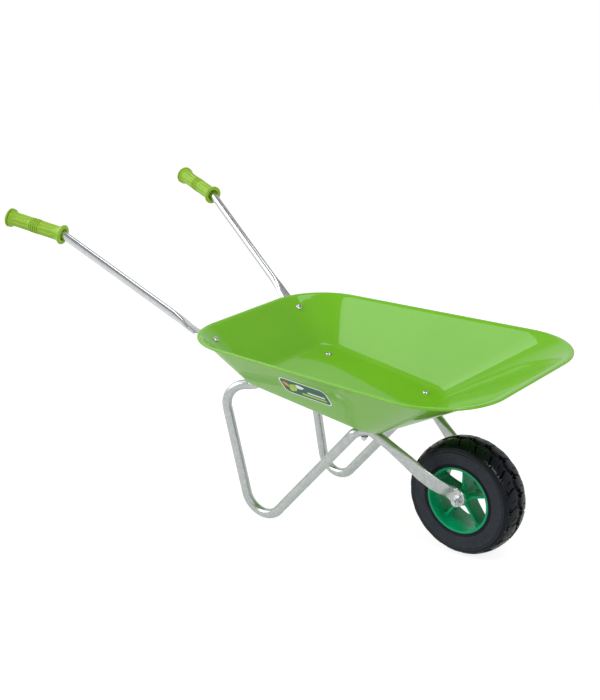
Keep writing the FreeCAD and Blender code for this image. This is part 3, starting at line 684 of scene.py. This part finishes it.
HANDLE_SLOPE = -0.622
HANDLE_SPLAY = -0.3
HANDLE_AT_RIM = (-389.1, 101.5, 267.3)
GRIP_INNER = (-591.8, 162.2, 393.5)
GRIP_LENGTH = 94


def on_handle(x):
    step = x - HANDLE_AT_RIM[0]
    return (x, HANDLE_AT_RIM[1] + HANDLE_SPLAY * step, HANDLE_AT_RIM[2] + HANDLE_SLOPE * step)


def grip_direction(side):
    slope, splay = math.radians(12.6), math.radians(16)
    return Vector((
        -math.cos(slope) * math.cos(splay), side * math.cos(slope) * math.sin(splay),
        math.sin(slope),
    ))


def make_handle_tube(side_name, side):
    """A tube from inside the grip down to the strip that lies along the tray."""
    depth = GAP + FLAT_HANDLE / 2
    inner = on_side(GRIP_INNER, side)
    direction = grip_direction(side)
    heading = Vector((1, HANDLE_SPLAY * side, 0)).normalized()
    across = Vector((-heading.y, heading.x, 0))

    upper, normal, upward = rear_corner(0.88)
    upper -= normal * depth
    drop = (upper - FLOOR_FRONT).dot(FLOOR_NORMAL) + depth
    corner = upper - upward * (drop / upward.dot(FLOOR_NORMAL))
    floor_end = under_floor(-274.5, on_handle(-274.5)[1], depth)
    on_wall = on_side(upward.cross(normal), side) * side
    tube = (HANDLE_TUBE, HANDLE_TUBE)
    bends = [
        Bend(inner + direction * (GRIP_LENGTH - 12), 1, *tube, across),
        Bend(inner - direction * 3, 40, *tube, across),
        Bend(on_side(on_handle(-424), side), 60, *tube, across),
        Bend(on_side(on_handle(-411), side), 40, 14.5, 8.5, across),
        Bend(on_side(on_handle(-401), side) - UP * 1.5, 14, 17.5, 5, across),
        Bend(on_side((-390, on_handle(-390)[1], 266.3), side), 8, 18.5, FLAT_HANDLE, across),
        Bend(on_side(upper, side), 6, 18.5, FLAT_HANDLE, on_wall),
        Bend(on_side(corner, side), 6, 18.5, FLAT_HANDLE, on_wall),
        Bend(on_side(floor_end, side), 1, 18.5, FLAT_HANDLE, across),
    ]
    form = bent_tube(bends)
    name = f"handle_tube_{side_name}"
    # The handle tubes take the lighter copy of the galvanised finish, which has painted light in
    # its colour.
    return form.piece(name + "_bent", "frame", [name], "galvanised_tube", ["painted_light_zinc"], crease=50)


# ---------------------------------------------------------------- grips

def grip_profile():
    """Bore, mouth, inner flange, body, rib group, end flange and end, as (radius, height)."""
    bore, mouth = HANDLE_TUBE / 2 + GAP, 8.9
    profile = [
        (0, 90), (bore, 90), (bore, 5.5), (7.2, 4.6), (8.4, 2.8), (mouth, 0.8), (9.4, 0.1),
        (12.8, 0), (13.9, 0.35), (14.5, 1.2), (14.6, 2.2), (14.3, 3.3), (13.4, 4.4), (12.3, 5.6),
        (11.5, 7.0), (11.0, 8.6), (10.7, 10.5),
    ]
    profile += [(10.6, height) for height in (12.5, 13.5, 14.5, 20, 26, 32, 36, 37, 38, 39.4)]
    for rib in range(4):
        base = 40 + rib * 3.3
        profile += [
            (9.5, base), (9.6, base + 0.4), (10.75, base + 0.7), (10.95, base + 1.2),
            (10.95, base + 1.9), (10.75, base + 2.4), (9.6, base + 2.8),
        ]
    profile += [(9.5, 53.2), (10.6, 53.9)]
    profile += [(10.6, height) for height in (55.5, 56.5, 57.5, 63, 69, 75, 79, 80, 81)]
    profile += [
        (10.8, 82.4), (11.3, 84), (12.1, 85.4), (12.9, 86.3), (13.5, 87), (13.7, 87.7),
        (13.4, 88.1), (10.9, 88.4), (10.8, 89.3), (10.9, 90.2), (13.5, 90.5), (14.0, 91.1),
        (14.0, 91.8), (13.7, 92.7), (12.9, 93.4), (11.4, 93.8), (8, 93.95), (0, 94),
    ]
    return profile


def fluted(angle, radius, height):
    """Sink ten lengthwise panels into each plain stretch of a grip."""
    for low, high in ((12.9, 38.2), (55.8, 81.2)):
        if low < height < high and radius > 10:
            wave = 0.5 + 0.5 * math.cos(10 * angle)
            panel = smooth_step(0.42, 0.68, wave)
            ends = smooth_step(low, low + 1.6, height) * smooth_step(high, high - 1.6, height)
            return radius - 0.95 * float(panel * ends)
    return radius


def make_grip(side_name, side):
    direction = grip_direction(side)
    form = Form().turn(grip_profile(), 120, shape=fluted)
    form.moved(on_side(GRIP_INNER, side) - direction * 2.5, direction)
    name = f"grip_{side_name}"
    return form.piece(name + "_moulded", "frame", [name], "grip_plastic", ["grip"], crease=48)


# ---------------------------------------------------------------- wheel

def spread_points(corners, pitch):
    """Resample a curve through corners at an even pitch."""
    rows = np.array(corners, float)
    lengths = np.concatenate([[0], np.cumsum(np.linalg.norm(np.diff(rows, axis=0), axis=1))])
    count = max(2, round(lengths[-1] / pitch))
    marks = np.linspace(0, lengths[-1], count + 1)
    return np.stack([np.interp(marks, lengths, rows[:, k]) for k in range(2)], axis=1), marks


TREAD_BLOCKS = 20
TREAD_DEPTH = 3.4
TREAD_REACH = 30
SIDEWALL = (
    (46.5, 24.0), (46.8, 24.6), (47.3, 24.8), (47.7, 24.5), (47.9, 23.4), (48.3, 22.9),
    (48.8, 22.9), (49.1, 23.5), (49.5, 24.0), (49.9, 23.5), (50.3, 22.9), (51.0, 22.9),
    (51.6, 23.7), (52.2, 25.2), (52.9, 25.75), (54, 25.85), (56, 25.75), (59, 25.65),
    (62, 25.65), (65, 25.75), (66.6, 25.95), (67.4, 26.0), (68.0, 25.6), (68.4, 24.7),
    (69.0, 24.5), (69.3, 24.9),
)
SHOULDER = (
    (69.3, 24.9), (70.2, 25.3), (71.4, 25.25), (72.8, 24.9), (74.2, 24.4), (75.7, 23.4),
    (76.9, 22.0), (77.9, 20.3), (78.8, 18.2), (79.6, 15.8), (80.3, 13.0), (80.85, 10.0),
    (81.2, 7.0), (81.42, 3.6), (81.5, 0),
)


def groove_depth(angle, across):
    """How deep the tread is cut at angles round and at a distance across from the middle."""
    pitch = 2 * math.pi * TYRE_RADIUS / TREAD_BLOCKS
    distance = abs(across)
    shift = 0.5 if across > 0 else 0.0
    phase = (angle * TYRE_RADIUS / pitch - 0.016 * distance + shift) % 1
    edge = 0.045

    def band(low, high):
        return smooth_step(low, low + edge, phase) * smooth_step(high, high - edge, phase)

    notch = band(0.3, 0.8)
    centre = 1 - smooth_step(0.5, 1.3, distance - 1.6 - 3.0 * notch)
    inside = smooth_step(3.5, 4.3, distance)
    crossing = band(0.5, 0.62) * inside * smooth_step(23.5, 22.5, distance)
    slit = 0.6 * band(0.1, 0.18) * smooth_step(8, 8.8, distance) * smooth_step(17, 16.2, distance)
    outer = 0.55 * notch * smooth_step(19.6, 20.6, distance) * smooth_step(25.5, 24.5, distance)
    return TREAD_DEPTH * np.maximum.reduce([centre, crossing, slit, outer])


def make_tyre():
    columns = 720
    angles = np.linspace(0, 2 * math.pi, columns, endpoint=False)
    half, marks = spread_points(SHOULDER, 0.85)
    tread = [(r, -y, -(marks[-1] - m)) for (r, y), m in zip(half, marks)]
    tread += [(r, y, marks[-1] - m) for (r, y), m in zip(half[::-1][1:], marks[::-1][1:])]
    rows = [(r, -y, None) for r, y in SIDEWALL[:-1]] + tread
    rows += [(r, y, None) for r, y in SIDEWALL[::-1][1:]]
    rings, kinds = [], []
    for radius, y, across in rows:
        reach = np.full(columns, float(radius))
        width = np.full(columns, float(y))
        if across is not None:
            depth = groove_depth(angles, across)
            lean = smooth_step(10, 24, abs(across)) * 0.75
            reach = reach - depth * (1 - lean * 0.55)
            width = width - math.copysign(1, y) * depth * lean
        kinds.append(0 if across is None or abs(across) > TREAD_REACH else 1)
        rings.append(np.stack([reach * np.cos(angles), reach * np.sin(angles), width], 1).tolist())
    kinds.append(0)
    form = Form().skin(rings, looped=True, kinds=kinds)
    form.moved(WHEEL_CENTRE, ACROSS)
    return form.piece(
        "tyre_moulded", "wheel", ["tyre"], "tyre_rubber", ["sidewall", "tread"], crease=42)


def spoke_ring(reach, thickness, half_depth, edge):
    """A rounded rectangle across a spoke, reach from the axis."""
    ring = []
    for sign_t, sign_d, first in ((1, 1, 0), (-1, 1, 90), (-1, -1, 180), (1, -1, 270)):
        for step in range(5):
            angle = math.radians(first + step * 22.5)
            ring.append((
                reach,
                sign_t * (thickness / 2 - edge) + edge * math.cos(angle),
                sign_d * (half_depth - edge) + edge * math.sin(angle),
            ))
    return ring


def make_wheel_rim():
    """Barrel with rolled edges, hub, and five flared plate spokes."""
    form = Form()
    form.turn([
        (43.6, -23.6), (43.7, -24.6), (44.2, -25.1), (45.2, -25.2), (46.2, -25.2), (46.8, -24.9),
        (47.0, -24.3), (46.5, -23.4), (46.5, 23.4), (47.0, 24.3), (46.8, 24.9), (46.2, 25.2),
        (45.2, 25.2), (44.2, 25.1), (43.7, 24.6), (43.6, 23.6), (43.2, 20), (42.6, 16),
        (42.1, 12.6), (41.9, 9), (41.5, 6), (41.4, 0), (41.5, -6), (41.9, -9), (42.1, -12.6),
        (42.6, -16), (43.2, -20),
    ], 128, looped=True)
    form.turn([
        (6.45, -17.6), (6.9, -18), (9.2, -18), (9.8, -17.7), (10, -17), (10.3, -13), (10.8, -6),
        (11, 0), (10.8, 6), (10.3, 13), (10, 17), (9.8, 17.7), (9.2, 18), (6.9, 18), (6.45, 17.6),
    ], 64, looped=True)
    flare = ((8.5, 8.2), (10, 7.2), (11.5, 5.8), (13.5, 4.7), (16.5, 4.1), (22, 3.8), (30, 3.8),
             (35, 4.0), (37.8, 4.5), (39.6, 5.4), (41, 6.8), (42, 8.4))
    for number in range(5):
        start = len(form.points)
        rings = [spoke_ring(reach, thick, 13, 1.0) for reach, thick in flare]
        form.skin(rings, caps=(True, True))
        turn = Matrix.Rotation(math.radians(72 * number - 16), 3, "Z")
        for index in range(start, len(form.points)):
            form.points[index] = turn @ form.points[index]
    form.moved(WHEEL_CENTRE, ACROSS)
    return form.piece(
        "wheel_rim_moulded", "wheel", ["wheel_rim"], "rim_plastic", ["rim"], crease=32)


# ---------------------------------------------------------------- fasteners

BOLT_RADIUS, WASHER, NUT, BOLT_TIP = 2.5, 1, 4, 2
AXLE_RADIUS, AXLE_WASHER, AXLE_NUT, AXLE_TIP = 4, 1.5, 6.5, 2.5


def plated_piece(form, name, crease):
    return form.piece(
        name + "_turned", "frame", [name], "zinc_plated_steel", ["plated"], crease=crease)


def thread_profile(radius, start, end, pitch):
    """Thread crests and roots as rings from start to end."""
    count = max(1, int(abs(end - start) / pitch))
    step = (end - start) / count
    profile = []
    for turn_number in range(count):
        base = start + turn_number * step
        profile += [(radius, base + step * 0.1), (radius, base + step * 0.25),
                    (radius * 0.88, base + step * 0.6), (radius * 0.88, base + step * 0.75)]
    return profile


def hexagon(form, width, bottom, top, bore=None, lower=True, cup=0.0):
    """A hexagon with turned chamfers; bore leaves a hole, cup sinks the upper face."""
    flat = width / 2
    corner = flat / math.cos(math.pi / 6)
    rise = (corner - flat * 0.97) * math.tan(math.radians(30))

    def outline(angle, radius, _):
        if radius < flat * 0.96:
            return radius
        part = angle % (math.pi / 3) - math.pi / 6
        return min(flat / math.cos(part), radius)

    hole = bore or 0
    profile = [(hole, bottom)]
    if bore:
        profile = [(bore, bottom + 0.5), (bore + 0.5, bottom)]
    if lower:
        profile += [(flat * 0.95, bottom), (flat * 0.97, bottom + 0.02)]
        steps = [flat * 0.97 + (corner - flat * 0.97) * k / 5 for k in range(1, 6)]
        profile += [(r, bottom + rise * (k + 1) / 5) for k, r in enumerate(steps)]
    else:
        profile += [(corner, bottom)]
    steps = [corner - (corner - flat * 0.97) * k / 5 for k in range(0, 6)]
    profile += [(r, top - rise * (5 - k) / 5) for k, r in enumerate(steps)]
    profile += [(flat * 0.9, top)]
    if bore:
        profile += [(bore + 0.5, top), (bore, top - 0.5)]
    else:
        profile += [(flat * 0.62, top), (flat * 0.55, top - cup), (0, top - cup)]
    return form.turn(profile, 96, shape=outline, looped=bool(bore))


def cross_recess_head():
    """A pan head with a tapered cross recess, as points and faces in millimetres."""
    profile = [
        (0, 0), (4.5, 0), (4.7, 0.15), (4.7, 0.75), (4.62, 1.15), (4.35, 1.6), (3.9, 2.0),
        (3.2, 2.35), (2.3, 2.54), (1.2, 2.6), (0, 2.6),
    ]
    head, cross = Form().turn(profile, 64), Form()
    for quarter in range(2):
        start = len(cross.points)
        cross.skin([
            [(-2.5, -0.52, 3.2), (2.5, -0.52, 3.2), (2.5, 0.52, 3.2), (-2.5, 0.52, 3.2)],
            [(-1.1, -0.34, 0.9), (1.1, -0.34, 0.9), (1.1, 0.34, 0.9), (-1.1, 0.34, 0.9)],
        ], caps=(True, True))
        if quarter:
            for index in range(start, len(cross.points)):
                x, y, z = cross.points[index]
                cross.points[index] = Vector((-y, x, z + 0.013))
    objects = []
    for label, form in (("head", head), ("cross", cross)):
        data = bpy.data.meshes.new(label)
        data.from_pydata([tuple(p) for p in form.points], [], form.faces)
        work = bmesh.new()
        work.from_mesh(data)
        bmesh.ops.recalc_face_normals(work, faces=work.faces)
        work.to_mesh(data)
        work.free()
        item = bpy.data.objects.new(label, data)
        bpy.context.scene.collection.objects.link(item)
        objects.append(item)
    cut = objects[0].modifiers.new("recess", "BOOLEAN")
    cut.operation = "DIFFERENCE"
    cut.solver = "EXACT"
    cut.use_self = True
    cut.object = objects[1]
    ready = objects[0].evaluated_get(bpy.context.evaluated_depsgraph_get())
    result = bpy.data.meshes.new_from_object(ready)
    points = [vertex.co.copy() for vertex in result.vertices]
    faces = [tuple(face.vertices) for face in result.polygons]
    for item in objects:
        bpy.data.objects.remove(item)
    return points, faces


def bolt_places(side):
    strip = FLAT_HANDLE + 2 * GAP
    wall, wall_normal, _ = rear_corner(HANDLE_BOLT)
    wall += wall_normal * CORNER_LIFT
    return (
        ("handle", on_side(wall, side), on_side(wall_normal, side),
         strip + CORNER_LIFT + BOLT_SLACK),
        ("rear_floor", on_side(under_floor(*REAR_BOLT, 0), side), FLOOR_NORMAL,
         strip + FLAT_FRAME + GAP + BOLT_SLACK),
        ("front_floor", on_side(under_floor(*FRONT_BOLT, 0), side), FLOOR_NORMAL,
         FRAME_TUBE + FRONT_DROP),
    )


def make_tray_fasteners(side_name, side, head):
    """Pan head bolts, flat washers and nuts that hold the tray."""
    for place, point, normal, depth in bolt_places(side):
        name = f"{place}_bolt_{side_name}"
        turn = Matrix.Rotation(math.radians(37 + 61 * len(place)), 3, "Z")
        form = Form()
        form.points = [turn @ p for p in head[0]]
        form.faces = list(head[1])
        form.kinds = [0] * len(form.faces)
        end = -(depth + WALL + WASHER + NUT + BOLT_TIP)
        thread = thread_profile(BOLT_RADIUS, end + 7, end + 0.5, 0.8)
        shank = [(0, 0.2), (BOLT_RADIUS, 0.2), (BOLT_RADIUS, end + 7.2)]
        form.turn(shank + thread + [(2, end), (0, end)], 40)
        form.moved(point + normal * WALL, normal)
        plated_piece(form, name, 30)

        name = f"{place}_washer_{side_name}"
        form = Form().turn([
            (2.65, 0.12), (2.77, 0), (5.25, 0), (5.4, 0.15), (5.4, 0.85), (5.25, WASHER),
            (2.77, WASHER), (2.65, 0.88),
        ], 56, looped=True).moved(point - normal * depth, -normal)
        plated_piece(form, name, 30)

        name = f"{place}_nut_{side_name}"
        form = hexagon(Form(), 8, 0, NUT, bore=BOLT_RADIUS)
        plated_piece(form.moved(point - normal * (depth + WASHER), -normal), name, 24)


def make_axle():
    """The long axle bolt, its lock nut and its washers."""
    tab_outer = TAB_CENTRE + TAB_THICKNESS / 2
    under_head = tab_outer + AXLE_WASHER
    end = -(2 * under_head + AXLE_NUT + AXLE_TIP)
    form = hexagon(Form(), 13, 0, 5.3, lower=False, cup=0.35)
    thread = thread_profile(AXLE_RADIUS, end + 14, end + 0.8, 1.25)
    shank = [(0, 0.2), (AXLE_RADIUS, 0.2), (AXLE_RADIUS, end + 14.4)]
    form.turn(shank + thread + [(3.3, end), (0, end)], 64)
    form.moved(WHEEL_CENTRE + ACROSS * under_head, ACROSS)
    plated_piece(form, "axle_bolt", 24)

    form = hexagon(Form(), 13, 0, 5.0, bore=AXLE_RADIUS)
    form.turn([
        (AXLE_RADIUS, 4.6), (5.0, 4.6), (5.9, 4.6), (5.9, 5.6), (5.7, 6.2), (5.1, AXLE_NUT),
        (4.4, 6.4), (4.05, 6.0), (AXLE_RADIUS, 5.6),
    ], 64, looped=True)
    form.moved(WHEEL_CENTRE - ACROSS * under_head, -ACROSS)
    plated_piece(form, "axle_nut", 24)

    for side_name, side in SIDES.items():
        out = ACROSS * side
        name = f"axle_washer_{side_name}"
        form = Form().turn([
            (4.1, 0.2), (4.3, 0), (8.3, 0), (8.5, 0.2), (8.5, 1.3), (8.3, AXLE_WASHER),
            (4.3, AXLE_WASHER), (4.1, 1.3),
        ], 72, looped=True).moved(WHEEL_CENTRE + out * tab_outer, out)
        plated_piece(form, name, 30)


# ---------------------------------------------------------------- label

LABEL_ALONG, LABEL_UP = 0.5, 0.53
LABEL_LENGTH, LABEL_HEIGHT, LABEL_CORNER = 82, 36, 10
LABEL_GAP = 0.35


def wall_point(along, up):
    """A point on the outside of the right wall."""
    low = FLOOR_REAR.lerp(FLOOR_FRONT, along)
    top = WALL_TOP.lerp(RIM_FRONT + RIM_BACK * RIM_LIP, along)
    low_half = FLOOR_REAR_HALF + (FLOOR_FRONT_HALF - FLOOR_REAR_HALF) * along
    top_half = RIM_REAR_HALF - RIM_LIP + (RIM_FRONT_HALF - RIM_REAR_HALF) * along
    return Vector((low.x, -low_half, low.z)).lerp(Vector((top.x, -top_half, top.z)), up)


def rounded_box(half_length, half_height, radius, middle=(0, 0)):
    corners = [(-half_length, -half_height), (half_length, -half_height),
               (half_length, half_height), (-half_length, half_height)]
    points, _ = rounded_outline(corners, [radius] * 4, straight=4, curve=10)
    return [(p.x + middle[0], p.y + middle[1]) for p in points]


def leaf(length, width, middle, degrees):
    """A plain pointed leaf outline."""
    points = []
    for sign in (1, -1):
        for step in range(12):
            share = step / 12
            x = (share - 0.5) * length * sign
            y = math.sin(math.pi * share) * width / 2 * sign
            points.append((x, y))
    turn = math.radians(degrees)
    return [(middle[0] + x * math.cos(turn) - y * math.sin(turn),
             middle[1] + x * math.sin(turn) + y * math.cos(turn)) for x, y in points]


def make_label():
    """A plain sticker: a white edge, a green panel, two stripes and three leaves."""
    form = Form()
    half_length, half_height = LABEL_LENGTH / 2, LABEL_HEIGHT / 2
    layers = [
        (rounded_box(half_length, half_height, LABEL_CORNER), -0.1, 0.22, 0),
        (rounded_box(half_length - 2, half_height - 2, LABEL_CORNER - 2), 0.2, 0.25, 1),
        (rounded_box(21, 2.2, 2.0, (12, -9)), 0.24, 0.28, 2),
        (rounded_box(15, 1.7, 1.5, (18, -2)), 0.24, 0.28, 0),
        (leaf(27, 13, (-21, -1), 52), 0.24, 0.28, 2),
        (leaf(20, 9.6, (-8, 6), 8), 0.24, 0.28, 0),
        (leaf(15, 8, (-31, 3), 122), 0.24, 0.28, 3),
    ]
    for outline, low, high, kind in layers:
        form.skin(
            [[(x, y, low) for x, y in outline], [(x, y, high) for x, y in outline]],
            caps=(True, True), kind=kind,
        )
    along = wall_point(LABEL_ALONG + 0.1, LABEL_UP) - wall_point(LABEL_ALONG - 0.1, LABEL_UP)
    rise = wall_point(LABEL_ALONG, LABEL_UP + 0.1) - wall_point(LABEL_ALONG, LABEL_UP - 0.1)
    along.normalize()
    out = along.cross(rise).normalized()
    base = wall_point(LABEL_ALONG, LABEL_UP) + out * LABEL_GAP
    turn = Matrix((along, out.cross(along), out)).transposed()
    form.points = [base + turn @ point for point in form.points]
    form.piece(
        "side_label_print", "frame", ["side_label"], "label_vinyl",
        ["label_white", "label_green", "label_lime", "label_orange"], crease=30,
    )


# ---------------------------------------------------------------- studio

# The floor's own light as it falls on the object, and as the camera sees it.
FLOOR_GLOW = (0.5, 0.84)
FLOOR_REACH = 40
# The Mix node's sockets when it mixes colours.
MIX_FIRST, MIX_SECOND, MIX_RESULT = 6, 7, 2
# Each light's name, place, target, width, height and watts.
LIGHTS = (
    ("key", (-1.25, -0.95, 1.6), (0.15, 0.1, 0.22), 2.6, 1.5, 33),
    ("fill", (1.5, -0.5, 1.7), (0.25, 0, 0.1), 0.26, 1.3, 14),
    ("top", (0.3, 0.6, 2.3), (0.1, 0, 0.1), 1.0, 0.7, 6),
)


def make_floor():
    data = bpy.data.meshes.new("studio_floor")
    corners = [(x * FLOOR_REACH, y * FLOOR_REACH, 0) for x, y in
               ((-1, -1), (1, -1), (1, 1), (-1, 1))]
    data.from_pydata(corners, [], [(0, 1, 2, 3)])
    item = bpy.data.objects.new("studio_floor", data)
    bpy.context.scene.collection.objects.link(item)
    ground = Surface(
        "studio_floor", (0.3, 0.3, 0.3, 1), Roughness=0.9,
        Emission_Color=(1, 1, 1, 1),
    )
    seen = ground.nodes.new("ShaderNodeLightPath").outputs["Is Camera Ray"]
    glow = ground.nodes.new("ShaderNodeMapRange")
    glow.inputs["To Min"].default_value, glow.inputs["To Max"].default_value = FLOOR_GLOW
    ground.links.new(seen, glow.inputs["Value"])
    ground.links.new(glow.outputs["Result"], ground.shader.inputs["Emission Strength"])
    ground.tint(ground.noise(2, 2), (0.296, 0.296, 0.296, 1), (0.304, 0.304, 0.304, 1))
    data.materials.append(ground.material)


def add_light(name, place, target, width, height, watts):
    data = bpy.data.lights.new(name, "AREA")
    data.shape = "RECTANGLE"
    data.size, data.size_y = width, height
    data.energy = watts
    item = bpy.data.objects.new(name, data)
    item.location = place
    item.rotation_euler = (Vector(target) - Vector(place)).to_track_quat("-Z", "Y").to_euler()
    bpy.context.scene.collection.objects.link(item)


def make_studio():
    make_floor()
    world = bpy.data.worlds.new("studio")
    bpy.context.scene.world = world
    world.use_nodes = True
    nodes, links = world.node_tree.nodes, world.node_tree.links
    place = nodes.new("ShaderNodeTexCoord").outputs["Generated"]
    split = nodes.new("ShaderNodeSeparateXYZ")
    links.new(place, split.inputs[0])
    ramp = nodes.new("ShaderNodeValToRGB")
    stops = ramp.color_ramp.elements
    stops[0].color = stops.new(0.5).color = (0.74, 0.74, 0.74, 1)
    stops.new(0.6).color = (0.32, 0.32, 0.32, 1)
    stops[-1].color = (0.28, 0.28, 0.28, 1)
    links.new(split.outputs["Z"], ramp.inputs["Fac"])
    seen = nodes.new("ShaderNodeLightPath").outputs["Is Camera Ray"]
    backdrop = nodes.new("ShaderNodeMix")
    backdrop.data_type = "RGBA"
    links.new(seen, backdrop.inputs["Factor"])
    links.new(ramp.outputs["Color"], backdrop.inputs[MIX_FIRST])
    backdrop.inputs[MIX_SECOND].default_value = (0.95, 0.95, 0.95, 1)
    links.new(backdrop.outputs[MIX_RESULT], nodes["Background"].inputs["Color"])
    nodes["Background"].inputs["Strength"].default_value = 1.0
    for light in LIGHTS:
        add_light(*light)


CAMERA_PLACE = (825.0, -1375.5, 837.2)
CAMERA_YAW, CAMERA_PITCH, CAMERA_ROLL = 38.888, 18.923, -1.259
LENS, SENSOR = 66.5789, 36


def make_camera():
    data = bpy.data.cameras.new("camera")
    data.sensor_width = SENSOR
    data.sensor_fit = "AUTO"
    data.lens = LENS
    data.clip_start, data.clip_end = 0.05, 120
    item = bpy.data.objects.new("camera", data)
    turn = (
        Matrix.Rotation(math.radians(CAMERA_YAW), 4, "Z")
        @ Matrix.Rotation(math.radians(90 - CAMERA_PITCH), 4, "X")
        @ Matrix.Rotation(math.radians(CAMERA_ROLL), 4, "Z")
    )
    item.matrix_world = Matrix.Translation(to_row(CAMERA_PLACE)) @ turn
    bpy.context.scene.collection.objects.link(item)
    bpy.context.scene.camera = item


# ---------------------------------------------------------------- build

def finish_cad_nodes():
    """Give the small nodes that stay as they are their plastic finish."""
    for side_name in SIDES:
        for node in (f"axle_spacer_{side_name}", f"hub_bush_{side_name}"):
            data = frame["nodes"][node].data
            data.materials.clear()
            data.materials.append(MATERIALS["bearing"])


make_tray()
recessed_head = cross_recess_head()
for side_name, side in SIDES.items():
    make_frame_tube(side_name, side)
    make_handle_tube(side_name, side)
    make_grip(side_name, side)
    make_tray_fasteners(side_name, side, recessed_head)
make_tyre()
make_wheel_rim()
make_axle()
make_label()
finish_cad_nodes()
make_studio()
make_camera()

view = bpy.context.scene.view_settings
view.view_transform = "Standard"
